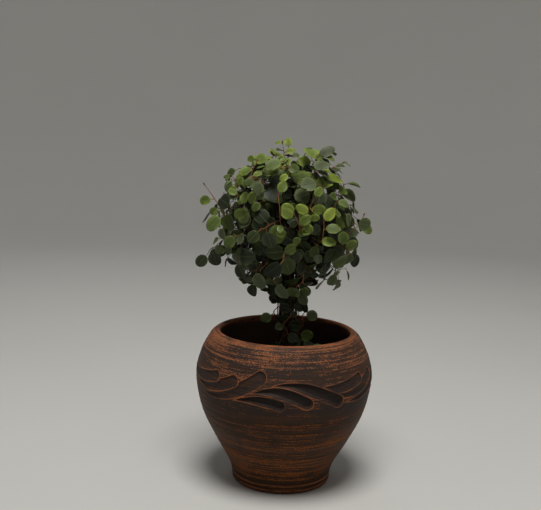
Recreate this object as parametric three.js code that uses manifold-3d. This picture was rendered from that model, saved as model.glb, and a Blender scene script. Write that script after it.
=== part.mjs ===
// Wire vine bonsai: a ball of thin leafy stems on a bundle of wiry trunk stems, in a carved pot.
// Millimetres, +Z up. The origin is the middle of the pot's foot, on the surface that it stands on.

import * as THREE from 'three';
import { mergeVertices } from 'three/addons/utils/BufferGeometryUtils.js';
import Module from 'manifold-3d';

const wasm = await Module();
wasm.setup();

const TURN = 2 * Math.PI;
const GAP = 0.35;

// Pot: profile points are [radius, height], foot to lip outside and lip to floor inside
const POT = {
  foot: [[48.1, 0], [49.4, 6.5]],
  flank: [
    [49.9, 9.2], [54.0, 21.4], [67.7, 45.9], [79.3, 68.9],
    [85.8, 91.9], [87.7, 113.3], [82.4, 133.2], [74.7, 147.8],
  ],
  flankSteps: 8,
  lip: [[70.6, 151.6], [67.3, 153.1], [64.9, 151.8]],
  inside: [[66.4, 146.5], [76.3, 129.5], [80.7, 110], [76.3, 81], [60.9, 45.5], [42.8, 9]],
  segments: 40,
};

// Carved band: the spine of each lobe in degrees round the pot and millimetres of height
const CARVING = {
  starts: [0, 102, 229.5],
  depth: 1.5,
  proud: 4,
  steps: [0, 0.3, 0.6, 0.84, 1],
  lobes: [
    { tail: [-85, 119], bend: [-67, 112.5], tip: [-51, 122.5], width: 6.5 },
    { tail: [-70.5, 111], bend: [-54, 104.5], tip: [-34.5, 122.5], width: 7.5 },
    { tail: [-61, 101], bend: [-36, 101.5], tip: [-14, 129.5], width: 8.5 },
    { tail: [-33, 102], bend: [-17, 109.5], tip: [-0.5, 100], width: 8 },
    { tail: [-20, 111], bend: [-4, 121], tip: [16.5, 100], width: 7.5 },
    { tail: [-8, 118.5], bend: [8, 125.5], tip: [37.5, 99.5], width: 8 },
  ],
};

// Soil: filled to well below the rim, a little higher round the trunk
const SOIL = { floor: 9.4, wall: 118, crown: 121, wallGap: 0.55, segments: 24, holeSides: 6 };

// Trunk: rings of stems that wind round one axis, then part inside the ball
const TRUNK = {
  axis: [2.6, 0],
  footHeight: 109,
  soilHeight: 122,
  waistHeight: 158,
  partHeight: 190,
  windSteps: 5,
  boughSteps: 5,
  swirl: 0.09,
  sides: 5,
  rings: [
    { count: 1, radius: 0.3, spread: 0.5, twist: 0, start: 0.1, girth: 1.2, rise: 80, reach: 0.62 },
    { count: 4, radius: 3.7, spread: 7.5, twist: 0.34, start: 0.06, girth: 1.15, rise: 36, reach: 0.6 },
    { count: 4, radius: 7.2, spread: 14, twist: -0.24, start: 0.17, girth: 1.05, rise: -10, reach: 0.56 },
  ],
};

// Ball: leafy stems reach from the trunk stems to its shell and run along it
const BALL = {
  centre: [-1, 0, 262],
  radius: 60,
  stems: 35,
  bareCone: 0.9,
  girth: 0.7,
  sides: 3,
  reachSteps: 2,
  runSteps: 5,
  internode: 6.7,
  arrive: 0.74,
  bow: 7,
  wander: 0.4,
  seats: 30,
};

// Leaves: broad ovals on short stalks, alternate along the shoot
const LEAF = {
  thickness: 0.7,
  stalk: [2.4, 4.6],
  stalkWidth: 0.8,
  behindNode: 1.2,
  length: [12.5, 18],
  youngLength: [8.5, 12.5],
  slimness: [0.78, 0.96],
  arch: 0.12,
  light: [0, -0.5, 0.12],
  roundness: [48, 92, 137],
  tries: 36,
  choices: 4,
};

// Shoots led by hand: way points from their seat outwards, how many points carry a leaf, the size of those
// leaves beside the ball's, and the point behind the leaves that they face away from
const LED_SHOOTS = [
  {
    name: 'left_twig', bareTip: true, leaves: 1, leafSize: 0.62, behind: [-60, 40, 262],
    way: [[-44, -12, 256], [-56, -14, 261], [-65, -11, 271], [-73, -8, 283], [-82.5, -6, 295.4]],
  },
  {
    name: 'right_twig', bareTip: true, leaves: 3, leafSize: 0.86, behind: [62, 36, 256],
    way: [
      [42, -14, 243], [50, -14, 248.5], [57, -13, 252.5], [63.5, -12, 257], [68.8, -11, 263], [72.3, -10, 270.6],
    ],
  },
  {
    name: 'crown_shoot', bareTip: false, leaves: 4, leafSize: 0.62, behind: [-4, 40, 318],
    way: [[-6, -6, 308], [-2, -9, 317], [-3, -9, 325.5], [-1.5, -9, 332.5]],
  },
  {
    name: 'hanging_shoot', bareTip: false, leaves: 2, leafSize: 1, behind: [-66, 34, 232],
    way: [[-44, -8, 232], [-56, -10, 236], [-66, -12, 237], [-74.5, -12, 234], [-77.8, -12, 228.5]],
  },
  {
    name: 'trunk_shoot_left', bareTip: false, leaves: 4, leafSize: 0.74, behind: [2, 26, 172],
    way: [[-8, -9, 166], [-12, -12, 173], [-8, -15, 180], [-11, -13, 188]],
  },
  {
    name: 'trunk_shoot_right', bareTip: false, leaves: 5, leafSize: 0.8, behind: [4, 22, 168],
    way: [[12, -10, 153], [17, -12, 161], [16, -14, 170], [21, -12, 178], [18, -10, 187]],
  },
  {
    name: 'trunk_shoot_front', bareTip: false, leaves: 5, leafSize: 0.66, behind: [2, 30, 150],
    way: [[2, -15, 141], [-4, -17, 147], [2, -19, 154], [-2, -18, 162], [4, -17, 170]],
  },
  {
    name: 'rim_shoot', bareTip: false, leaves: 2, leafSize: 0.82, behind: [16, -4, 108],
    way: [[10, -13, 134], [17, -18, 138], [23, -22, 141]],
  },
];

const COLOURS = {
  pot: 0x5a3626,
  soil: 0x1b1512,
  trunk: 0x2c1c15,
  foliage: [0x3f5a35, 0x496b38, 0x35502f, 0x567a3c],
};

const UP = new THREE.Vector3(0, 0, 1);
const LIGHT = new THREE.Vector3(...LEAF.light);
const BALL_CENTRE = new THREE.Vector3(...BALL.centre);

const lerp = (range, t) => range[0] + (range[1] - range[0]) * t;
const along = (from, to) => to.clone().sub(from).normalize();
const across = (vector, axis) => vector.clone().addScaledVector(axis, -vector.dot(axis));

// Repeatable random numbers between 0 and 1
function seeded(seed) {
  let state = (seed * 2654435761) >>> 0;
  const next = () => {
    state = (Math.imul(state, 1664525) + 1013904223) >>> 0;
    return state / 4294967296;
  };
  for (let warm = 0; warm < 4; warm += 1) next();
  return next;
}

function randomVector(random, size) {
  const [x, y, z] = [random() - 0.5, random() - 0.5, random() - 0.5];
  return new THREE.Vector3(x, y, z).multiplyScalar(2 * size);
}

// Solids for joining and cutting

function toSolid(geometry) {
  const bare = geometry.clone();
  bare.deleteAttribute('normal');
  bare.deleteAttribute('uv');
  const merged = mergeVertices(bare, 1e-4);
  return new wasm.Manifold(new wasm.Mesh({
    numProp: 3,
    vertProperties: new Float32Array(merged.attributes.position.array),
    triVerts: new Uint32Array(merged.index.array),
  }));
}

function toGeometry(solid) {
  const mesh = solid.getMesh();
  const geometry = new THREE.BufferGeometry();
  geometry.setAttribute('position', new THREE.BufferAttribute(new Float32Array(mesh.vertProperties), 3));
  geometry.setIndex(new THREE.BufferAttribute(new Uint32Array(mesh.triVerts), 1));
  geometry.computeVertexNormals();
  return geometry;
}

function facesToGeometry(points, faces) {
  const geometry = new THREE.BufferGeometry();
  const coordinates = points.flatMap((point) => [point.x, point.y, point.z]);
  const triangles = faces.flatMap((face) => face.slice(2).flatMap((corner, i) => [face[0], face[i + 1], corner]));
  geometry.setAttribute('position', new THREE.Float32BufferAttribute(coordinates, 3));
  geometry.setIndex(triangles);
  return geometry;
}

function namedMesh(name, geometry, colour, roughness) {
  const material = new THREE.MeshStandardMaterial({ color: colour, roughness, metalness: 0, flatShading: true });
  const mesh = new THREE.Mesh(geometry, material);
  mesh.name = name;
  return mesh;
}

// Pot

const toVector2 = ([radius, height]) => new THREE.Vector2(radius, height);

function outerProfile() {
  const flank = new THREE.SplineCurve(POT.flank.map(toVector2)).getPoints(POT.flankSteps);
  return [...POT.foot.map(toVector2), ...flank, ...POT.lip.map(toVector2)];
}

// Radius of a profile at a height, where the profile rises or falls steadily
function radiusAt(profile, height) {
  const low = profile.findLastIndex((point) => point.y <= height);
  const [a, b] = [profile[low], profile[low + 1] ?? profile[low]];
  return a === b ? a.x : lerp([a.x, b.x], (height - a.y) / (b.y - a.y));
}

function lathe(profile, segments) {
  const geometry = new THREE.LatheGeometry(profile, segments);
  return geometry.rotateX(Math.PI / 2);
}

function onPot(degrees, radius, height) {
  const angle = THREE.MathUtils.degToRad(degrees - 90);
  return new THREE.Vector3(radius * Math.cos(angle), radius * Math.sin(angle), height);
}

// One teardrop recess: thin tail, full round tip, its floor at an even depth under the pot's skin
function lobeCutter(lobe, start, profile) {
  const spine = new THREE.QuadraticBezierCurve(toVector2(lobe.tail), toVector2(lobe.bend), toVector2(lobe.tip));
  const degreesPerMillimetre = 360 / (TURN * POT.flank[5][0]);
  const points = [];
  const rows = CARVING.steps.map((t) => {
    const middle = spine.getPoint(t);
    const slope = spine.getTangent(t);
    const run = new THREE.Vector2(slope.x / degreesPerMillimetre, slope.y).normalize();
    const half = (lobe.width / 2) * Math.sin(Math.PI * t ** 1.8) ** 0.7;
    const ends = half < 0.05 ? [0] : [half, -half];
    return ends.flatMap((offset) => {
      const degrees = start + middle.x - run.y * offset * degreesPerMillimetre;
      const height = middle.y + run.x * offset;
      const skin = radiusAt(profile, height);
      points.push(onPot(degrees, skin - CARVING.depth, height), onPot(degrees, skin + CARVING.proud, height));
      return [points.length - 2];
    });
  });
  const faces = [];
  for (let i = 1; i < rows.length; i += 1) {
    const [a, b] = [rows[i - 1], rows[i]];
    const ring = [...b, ...a.toReversed()];
    faces.push(ring, ring.toReversed().map((corner) => corner + 1));
    faces.push([a[0] + 1, b[0] + 1, b[0], a[0]]);
    faces.push([a.at(-1), b.at(-1), b.at(-1) + 1, a.at(-1) + 1]);
  }
  return facesToGeometry(points, faces);
}

function pot() {
  const outside = outerProfile();
  const inside = POT.inside.map(toVector2);
  const floor = inside.at(-1).y;
  const profile = [new THREE.Vector2(0, 0), ...outside, ...inside, new THREE.Vector2(0, floor)];
  let solid = toSolid(lathe(profile, POT.segments));
  for (const start of CARVING.starts) {
    for (const lobe of CARVING.lobes) solid = solid.subtract(toSolid(lobeCutter(lobe, start, outside)));
  }
  return namedMesh('pot', toGeometry(solid), COLOURS.pot, 0.8);
}

// Soil with a plain hole for each stem

function soil(stems) {
  const inside = POT.inside.map(toVector2).toReversed();
  const below = inside.filter((point) => point.y > SOIL.floor && point.y < SOIL.wall);
  const side = [SOIL.floor, ...below.map((point) => point.y), SOIL.wall];
  const skin = side.map((height) => new THREE.Vector2(radiusAt(inside, height) - SOIL.wallGap, height));
  const profile = [new THREE.Vector2(0, SOIL.floor), ...skin, new THREE.Vector2(0, SOIL.crown)];
  let solid = toSolid(lathe(profile, SOIL.segments));
  for (const stem of stems) {
    const radius = (stem.girth + GAP) / Math.cos(Math.PI / SOIL.holeSides);
    const height = SOIL.crown - TRUNK.footHeight + 4;
    const hole = new THREE.CylinderGeometry(radius, radius, height, SOIL.holeSides).rotateX(Math.PI / 2);
    const foot = stem.points[0];
    hole.translate(foot.x, foot.y, TRUNK.footHeight - GAP + height / 2);
    solid = solid.subtract(toSolid(hole));
  }
  return namedMesh('soil', toGeometry(solid), COLOURS.soil, 1);
}

// Stems: a stem is a row of nodes joined by straight internodes

class NodePath extends THREE.Curve {
  constructor(points) {
    super();
    this.points = points;
  }

  getPoint(t, target = new THREE.Vector3()) {
    const place = Math.min(Math.max(t, 0), 1) * (this.points.length - 1);
    const from = Math.min(Math.floor(place), this.points.length - 2);
    return target.lerpVectors(this.points[from], this.points[from + 1], place - from);
  }

  getPointAt(u, target) {
    return this.getPoint(u, target);
  }

  getTangentAt(u, target) {
    return this.getTangent(u, target);
  }
}

function stemGeometry(points, girth, sides) {
  const corner = (i) => [girth * Math.cos((TURN * i) / sides), girth * Math.sin((TURN * i) / sides)];
  const section = new THREE.Shape(Array.from({ length: sides }, (_, i) => new THREE.Vector2(...corner(i))));
  const extrudePath = new NodePath(points);
  return new THREE.ExtrudeGeometry(section, { steps: points.length - 1, bevelEnabled: false, extrudePath });
}

// Room: every internode, stalk and blade is a rounded hull that the others keep clear of

function hull(owner, points, radius, axes) {
  const centre = new THREE.Box3().setFromPoints(points).getCenter(new THREE.Vector3());
  const reach = Math.max(...points.map((point) => point.distanceTo(centre))) + radius;
  return { owner, points, radius, axes, centre, reach };
}

function internodeHulls(owner, points, girth) {
  return points.slice(1).map((to, i) => hull(owner, [points[i], to], girth, [along(points[i], to)]));
}

function isApart(a, b) {
  const between = b.centre.clone().sub(a.centre);
  if (between.length() > a.reach + b.reach + GAP) return true;
  const own = [...a.axes, ...b.axes];
  const crossed = a.axes.flatMap((p) => b.axes.map((q) => p.clone().cross(q)));
  const tests = [between, ...own, ...own.map((axis) => across(between, axis)), ...crossed];
  return tests.some((axis) => {
    const size = axis.length();
    if (size < 1e-6) return false;
    const reachOfA = a.points.map((point) => point.dot(axis) / size);
    const reachOfB = b.points.map((point) => point.dot(axis) / size);
    const after = Math.min(...reachOfB) - Math.max(...reachOfA);
    const before = Math.min(...reachOfA) - Math.max(...reachOfB);
    return Math.max(after, before) >= a.radius + b.radius + GAP;
  });
}

const hasRoom = (hulls, others) => hulls.every((one) => others.every((other) => isApart(one, other)));

// Trunk stems: wound from the soil to the ball, then parted as boughs

function trunkStem(ring, index) {
  const angle = (turns) => TURN * (ring.start + index / ring.count + ring.twist * turns);
  const place = (turns, radius, height) => new THREE.Vector3(
    TRUNK.axis[0] + radius * Math.cos(angle(turns)),
    TRUNK.axis[1] + radius * Math.sin(angle(turns)),
    height,
  );
  const points = [place(0, ring.spread, TRUNK.footHeight)];
  for (let step = 0; step <= TRUNK.windSteps; step += 1) {
    const height = lerp([TRUNK.soilHeight, TRUNK.partHeight], step / TRUNK.windSteps);
    const rise = Math.min((height - TRUNK.soilHeight) / (TRUNK.waistHeight - TRUNK.soilHeight), 1);
    const radius = lerp([ring.spread, ring.radius], rise * (2 - rise));
    points.push(place(step / TRUNK.windSteps, radius, height));
  }
  const part = points.at(-1);
  const rise = THREE.MathUtils.degToRad(ring.rise);
  const bearing = angle(1) + TURN * TRUNK.swirl * Math.sign(ring.twist);
  const heading = new THREE.Vector3(Math.cos(bearing), Math.sin(bearing), 0).multiplyScalar(Math.cos(rise));
  heading.addScaledVector(UP, Math.sin(rise));
  const end = BALL_CENTRE.clone().addScaledVector(heading, ring.reach * BALL.radius);
  const bend = part.clone().addScaledVector(UP, 0.62 * (end.z - part.z));
  const bough = new THREE.QuadraticBezierCurve3(part, bend, end).getPoints(TRUNK.boughSteps);
  points.push(...bough.slice(1));
  return { points, girth: ring.girth, sides: TRUNK.sides };
}

function trunkStems() {
  const inRing = (ring) => Array.from({ length: ring.count }, (_, index) => trunkStem(ring, index));
  const stems = TRUNK.rings.flatMap(inRing);
  stems.forEach((stem, index) => { stem.name = `trunk_stem_${index + 1}`; });
  return stems;
}

// Seats: places along the trunk stems where a shoot may start
function trunkSeats(stems) {
  return stems.flatMap((stem) => stem.points.slice(1).flatMap((to, i) => {
    const from = stem.points[i];
    const direction = along(from, to);
    return [0.2, 0.5, 0.8].map((t) => ({ stem, point: from.clone().lerp(to, t), direction }));
  }));
}

// A shoot leaves its carrier a little clear of it, square across or slanting forward
function seatedPoint(seat, towards, girth) {
  const out = towards.clone().sub(seat.point);
  const square = across(out, seat.direction);
  const slant = Math.abs(out.dot(seat.direction)) / out.length();
  return seat.point.clone().addScaledVector(square.normalize(), seat.stem.girth + GAP + girth * slant);
}

function seatCost(seat, goal) {
  const out = goal.clone().sub(seat.point);
  const forward = out.dot(seat.direction) / out.length();
  return out.length() + 60 * Math.max(0, forward - 0.85) + 60 * Math.max(0, 0.1 - forward);
}

function bestSeats(seats, goal) {
  return seats.toSorted((a, b) => seatCost(a, goal) - seatCost(b, goal)).slice(0, BALL.seats);
}

// The first internode may touch the room of the stem that carries it
function shootFits(shoot, placed) {
  const hulls = internodeHulls(shoot.name, shoot.points, BALL.girth);
  const carried = placed.filter((other) => other.owner !== shoot.carrier);
  return hasRoom(hulls.slice(0, 1), carried) && hasRoom(hulls.slice(1), placed);
}

function ledShoot(led, seats, placed) {
  const way = led.way.map((point) => new THREE.Vector3(...point));
  const fits = bestSeats(seats, way[0]).map((seat) => {
    const points = [seatedPoint(seat, way[0], BALL.girth), ...way];
    return { ...led, points, carrier: seat.stem.name, hub: new THREE.Vector3(...led.behind) };
  });
  return fits.find((shoot) => shootFits(shoot, placed));
}

// A shoot of the ball: bowed reach to the shell, then a wandering run along it
function ballPath(random, seat, goal) {
  const arrival = BALL_CENTRE.clone().addScaledVector(goal, BALL.arrive * BALL.radius);
  const bow = randomVector(random, BALL.bow);
  const points = [];
  for (let step = 1; step <= BALL.reachSteps; step += 1) {
    const t = step / BALL.reachSteps;
    points.push(seat.point.clone().lerp(arrival, t).addScaledVector(bow, Math.sin(Math.PI * t)));
  }
  points.unshift(seatedPoint(seat, points[0], BALL.girth));
  const sideways = across(randomVector(random, 1).addScaledVector(UP, 0.5 * goal.z), goal).normalize();
  let heading = goal.clone().multiplyScalar(0.75).add(sideways);
  for (let step = 0; step < BALL.runSteps; step += 1) {
    const last = points.at(-1);
    const radial = last.clone().sub(BALL_CENTRE);
    const lift = 2.2 * (0.95 - radial.length() / BALL.radius);
    heading = heading.normalize().addScaledVector(radial.normalize(), lift).add(randomVector(random, BALL.wander));
    points.push(last.clone().addScaledVector(heading.normalize(), BALL.internode));
  }
  return points;
}

// Even directions round the ball, leaving bare the cone where the trunk comes in
function ballGoals() {
  const golden = Math.PI * (3 - Math.sqrt(5));
  return Array.from({ length: BALL.stems }, (_, index) => {
    const height = 1 - ((index + 0.5) / BALL.stems) * (1 + BALL.bareCone);
    const flat = Math.sqrt(1 - height * height);
    return new THREE.Vector3(flat * Math.cos(golden * index), flat * Math.sin(golden * index), height);
  });
}

function ballShoot(index, goal, seats, placed) {
  const random = seeded(100 + index);
  const arrival = BALL_CENTRE.clone().addScaledVector(goal, BALL.arrive * BALL.radius);
  const name = `leafy_stem_${String(index + 1).padStart(2, '0')}`;
  for (const seat of bestSeats(seats, arrival)) {
    for (let attempt = 0; attempt < 4; attempt += 1) {
      const points = ballPath(random, seat, goal);
      const growth = { hub: BALL_CENTRE, leaves: BALL.runSteps + 1, leafSize: 1 };
      const shoot = { name, points, carrier: seat.stem.name, ...growth };
      if (shootFits(shoot, placed)) return shoot;
    }
  }
  return null;
}

// Leaves

function drawLeaf(random, shoot, node, side) {
  const last = shoot.points.length - 1;
  const run = along(shoot.points[node - 1], shoot.points[node]);
  const radial = along(shoot.hub, shoot.points[node]);
  const sideways = run.clone().cross(radial).normalize().multiplyScalar(node === last ? 0 : side);
  const forward = node === last ? 1 : 0.35;
  const facing = radial.clone().add(LIGHT).add(randomVector(random, 0.5)).normalize();
  const hang = sideways.multiplyScalar(0.85).addScaledVector(run, forward).addScaledVector(UP, -0.4);
  const pointing = across(hang.add(randomVector(random, 0.45)), facing).normalize();
  const lift = 0.25 + 0.75 * random();
  const young = random() < 0.25 + 0.5 * radial.z && node >= last - 2;
  const length = shoot.leafSize * lerp(young ? LEAF.youngLength : LEAF.length, random());
  const width = length * lerp(LEAF.slimness, random());
  const stalk = lerp(LEAF.stalk, random());
  const rise = pointing.clone().multiplyScalar(Math.cos(lift)).addScaledVector(facing, Math.sin(lift));
  const root = shoot.points[node].clone().addScaledVector(run, -LEAF.behindNode);
  const neck = root.clone().addScaledVector(rise, stalk);
  const leaf = { root, neck, rise, pointing, facing, side: facing.clone().cross(pointing), length, width, young };
  return { ...leaf, arch: LEAF.arch * random() };
}

function bladePoint(leaf, degrees, sign) {
  const angle = THREE.MathUtils.degToRad(degrees);
  const reach = (leaf.length / 2) * (1 - Math.cos(angle));
  const drop = (leaf.arch * reach * reach) / leaf.length;
  return leaf.neck.clone()
    .addScaledVector(leaf.pointing, reach)
    .addScaledVector(leaf.side, sign * (leaf.width / 2) * Math.sin(angle))
    .addScaledVector(leaf.facing, -drop);
}

function leafHulls(owner, leaf) {
  const rim = LEAF.roundness.flatMap((degrees) => [bladePoint(leaf, degrees, 1), bladePoint(leaf, degrees, -1)]);
  const outline = [leaf.neck, ...rim, bladePoint(leaf, 180, 0)];
  const blade = hull(owner, outline, LEAF.thickness / 2, [leaf.facing, leaf.pointing, leaf.side]);
  const stalk = hull(owner, [leaf.root, leaf.neck], LEAF.stalkWidth / 2, [leaf.rise]);
  return { blade, stalk };
}

// Blade and stalk as one closed solid: the stalk is three-sided and sinks into the stem
function leafGeometry(leaf) {
  const half = LEAF.thickness / 2;
  const stalkNormal = leaf.side.clone().cross(leaf.rise).negate();
  const stalkEnd = (point, size) => [
    point.clone().addScaledVector(leaf.side, size).addScaledVector(stalkNormal, size * 0.8),
    point.clone().addScaledVector(leaf.side, -size).addScaledVector(stalkNormal, size * 0.8),
    point.clone().addScaledVector(stalkNormal, -size * 0.8),
  ];
  const above = (point) => point.clone().addScaledVector(leaf.facing, half);
  const under = (point) => point.clone().addScaledVector(leaf.facing, -half);
  const points = [...stalkEnd(leaf.root, LEAF.stalkWidth / 4), ...stalkEnd(leaf.neck, LEAF.stalkWidth / 2)];
  const rows = LEAF.roundness.map((degrees) => {
    const [left, right] = [bladePoint(leaf, degrees, 1), bladePoint(leaf, degrees, -1)];
    points.push(above(left), above(right), under(left), under(right));
    return points.length - 4;
  });
  const tip = bladePoint(leaf, 180, 0);
  points.push(above(tip), under(tip));
  const [tipAbove, tipUnder] = [points.length - 2, points.length - 1];
  const first = rows[0];
  const faces = [
    [0, 2, 1], [0, 1, 4, 3], [0, 3, 5, 2], [1, 2, 5, 4],
    [3, 4, first + 1, first], [3, first, first + 2, 5], [4, 5, first + 3, first + 1], [5, first + 2, first + 3],
  ];
  for (let i = 1; i < rows.length; i += 1) {
    const [a, b] = [rows[i - 1], rows[i]];
    faces.push([a, a + 1, b + 1, b], [a + 2, b + 2, b + 3], [a + 2, b + 3, a + 3]);
    faces.push([a, b, b + 2, a + 2], [a + 1, a + 3, b + 3, b + 1]);
  }
  const end = rows.at(-1);
  faces.push([end, end + 1, tipAbove], [end + 2, tipUnder, end + 3]);
  faces.push([end, tipAbove, tipUnder, end + 2], [end + 1, end + 3, tipUnder, tipAbove]);
  return facesToGeometry(points, faces);
}

// Leaves of one shoot, alternate from node to node, each where it finds room
function growLeaves(shoot, order, placed) {
  const last = shoot.points.length - 1;
  const leaves = [];
  const end = shoot.bareTip ? last - 1 : last;
  for (let node = end; node > end - shoot.leaves; node -= 1) {
    const random = seeded(1000 + 40 * order + node);
    const stemNearby = placed.filter((other) => other.owner === shoot.name && other.nodes?.includes(node));
    const others = placed.filter((other) => !stemNearby.includes(other));
    const choices = [];
    for (let attempt = 0; attempt < LEAF.tries && choices.length < LEAF.choices; attempt += 1) {
      const leaf = drawLeaf(random, shoot, node, node % 2 ? 1 : -1);
      const { blade, stalk } = leafHulls(shoot.name, leaf);
      if (hasRoom([blade], placed) && hasRoom([stalk], others)) choices.push({ leaf, blade, stalk });
    }
    if (choices.length === 0) continue;
    const openness = ({ blade }) => Math.min(...placed.map((other) => other.centre.distanceTo(blade.centre)));
    const chosen = choices.reduce((best, choice) => (openness(choice) > openness(best) ? choice : best));
    placed.push(chosen.blade, chosen.stalk);
    leaves.push(chosen.leaf);
  }
  return leaves;
}

function shootMesh(shoot, index) {
  let solid = toSolid(stemGeometry(shoot.points, BALL.girth, BALL.sides));
  for (const leaf of shoot.leafList) solid = solid.add(toSolid(leafGeometry(leaf)));
  return namedMesh(shoot.name, toGeometry(solid), COLOURS.foliage[index % COLOURS.foliage.length], 0.5);
}

// The whole plant in its pot

function place(placed, stem, girth) {
  const hulls = internodeHulls(stem.name, stem.points, girth);
  hulls.forEach((one, i) => { one.nodes = [i, i + 1]; });
  placed.push(...hulls);
}

function build() {
  const stems = trunkStems();
  const seats = trunkSeats(stems);
  const placed = [];
  for (const stem of stems) place(placed, stem, stem.girth);

  const shoots = [];
  const addShoot = (shoot) => {
    if (!shoot) return;
    place(placed, shoot, BALL.girth);
    shoots.push(shoot);
  };
  for (const led of LED_SHOOTS) addShoot(ledShoot(led, seats, placed));
  ballGoals().forEach((goal, index) => addShoot(ballShoot(index, goal, seats, placed)));
  shoots.forEach((shoot, order) => { shoot.leafList = growLeaves(shoot, order, placed); });

  const group = new THREE.Group();
  group.add(pot(), soil(stems));
  for (const stem of stems) {
    const solid = toSolid(stemGeometry(stem.points, stem.girth, stem.sides));
    group.add(namedMesh(stem.name, toGeometry(solid), COLOURS.trunk, 0.8));
  }
  shoots.forEach((shoot, index) => group.add(shootMesh(shoot, index)));
  return group;
}

export default build();
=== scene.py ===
"""Wire vine bonsai: a ball of small round leaves on a bundle of wiry stems, in a carved clay pot.

The plant grows by the rule that its solids were grown by, with the same numbers and seeds, so each fine
stem and leaf lies where its solid lies. Finer leaves and twigs then fill the ball. Growth is reckoned in
millimetres, and the meshes are made in metres.
"""

import logging
import math
from collections.abc import Callable, Iterable, Iterator
from contextlib import contextmanager
from dataclasses import dataclass, field
from enum import Enum

import bpy
import numpy as np
from mathutils import Matrix, Vector, noise


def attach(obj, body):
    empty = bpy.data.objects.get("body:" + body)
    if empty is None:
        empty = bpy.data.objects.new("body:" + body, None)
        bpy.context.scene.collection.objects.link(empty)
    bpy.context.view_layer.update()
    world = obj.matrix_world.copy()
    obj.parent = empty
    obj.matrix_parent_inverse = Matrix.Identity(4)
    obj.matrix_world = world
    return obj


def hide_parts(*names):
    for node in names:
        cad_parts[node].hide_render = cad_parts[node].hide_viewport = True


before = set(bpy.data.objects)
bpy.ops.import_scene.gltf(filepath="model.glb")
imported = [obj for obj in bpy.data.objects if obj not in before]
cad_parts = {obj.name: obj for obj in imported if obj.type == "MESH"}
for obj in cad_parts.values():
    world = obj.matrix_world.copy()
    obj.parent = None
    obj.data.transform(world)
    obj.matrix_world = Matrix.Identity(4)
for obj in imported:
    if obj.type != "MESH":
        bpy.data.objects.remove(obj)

LOG = logging.getLogger("bonsai")
MM = 0.001
TURN = 2 * math.pi
GAP = 0.35
UP = np.array([0.0, 0.0, 1.0])

Vec = np.ndarray
Pair = tuple[float, float]
Point = tuple[float, float, float]
Colour = tuple[float, float, float, float]
Piece = bpy.types.Object
Socket = bpy.types.NodeSocket
Tree = bpy.types.NodeTree
Material = bpy.types.Material


# Small sums on points and numbers


def vec(*values: float) -> Vec:
    """A point or direction of plain numbers."""
    return np.array(values, float)


def lerp(span: Pair, part: float) -> float:
    """The value that lies a part of the way along a span."""
    return span[0] + (span[1] - span[0]) * part


def length(vector: Vec) -> float:
    """How long a vector is."""
    return math.sqrt(float(vector @ vector))


def unit(vector: Vec) -> Vec:
    """The vector at length one."""
    return vector / length(vector)


def along(start: Vec, end: Vec) -> Vec:
    """The direction from one point to another."""
    return unit(end - start)


def square_to(vector: Vec, axis: Vec) -> Vec:
    """What is left of a vector when its share along an axis is taken off."""
    return vector - axis * float(vector @ axis)


def crossed(a: Vec, b: Vec) -> Vec:
    """The vector square to two others."""
    return vec(a[1] * b[2] - a[2] * b[1], a[2] * b[0] - a[0] * b[2], a[0] * b[1] - a[1] * b[0])


def smoothstep(low: float, high: float, values: Vec) -> Vec:
    """Values eased from 0 at the low edge to 1 at the high edge."""
    part = np.clip((values - low) / (high - low), 0, 1)
    return part * part * (3 - 2 * part)


def srgb(red: float, green: float, blue: float) -> Colour:
    """A screen colour of 0 to 255 as the shader's linear colour, fully opaque."""
    shares = [value / 255 for value in (red, green, blue)]
    return (*(s / 12.92 if s <= 0.04045 else ((s + 0.055) / 1.055) ** 2.4 for s in shares), 1.0)


def spline(points: Iterable[Iterable[float]], steps: int) -> Vec:
    """A smooth curve through a row of points.

    Args:
        points: the points that the curve passes through.
        steps: how many pieces the whole curve has.

    Returns:
        The curve's points, steps + 1 of them.
    """
    knots = np.array(list(points), float)
    last = len(knots) - 1
    curve = []
    for step in range(steps + 1):
        place = last * step / steps
        index = min(int(place), last - 1)
        part = place - index
        before, after = knots[max(index - 1, 0)], knots[min(index + 2, last)]
        start, end = knots[index], knots[index + 1]
        pull, push = (end - before) / 2, (after - start) / 2
        curve.append(
            (2 * start - 2 * end + pull + push) * part**3
            + (-3 * start + 3 * end - 2 * pull - push) * part**2
            + pull * part
            + start
        )
    return np.array(curve)


class Draws:
    """Repeatable random numbers between 0 and 1."""

    SCATTER = 2654435761
    FACTOR = 1664525
    STEP = 1013904223
    RANGE = 2**32
    SKIPPED = 4

    def __init__(self, seed: int) -> None:
        """Starts the row of numbers that belongs to a seed."""
        self.state = seed * self.SCATTER % self.RANGE
        for _ in range(self.SKIPPED):
            self.next()

    def next(self) -> float:
        """The next number."""
        self.state = (self.state * self.FACTOR + self.STEP) % self.RANGE
        return self.state / self.RANGE

    def vector(self, size: float) -> Vec:
        """A vector with each share between minus and plus a size."""
        return vec(self.next() - 0.5, self.next() - 0.5, self.next() - 0.5) * (2 * size)


# Growth of the plant


@dataclass(frozen=True)
class TrunkRing:
    """One ring of trunk stems that wind side by side round the axis."""

    count: int
    radius: float
    spread: float
    twist: float
    start: float
    girth: float
    rise: float
    reach: float


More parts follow.
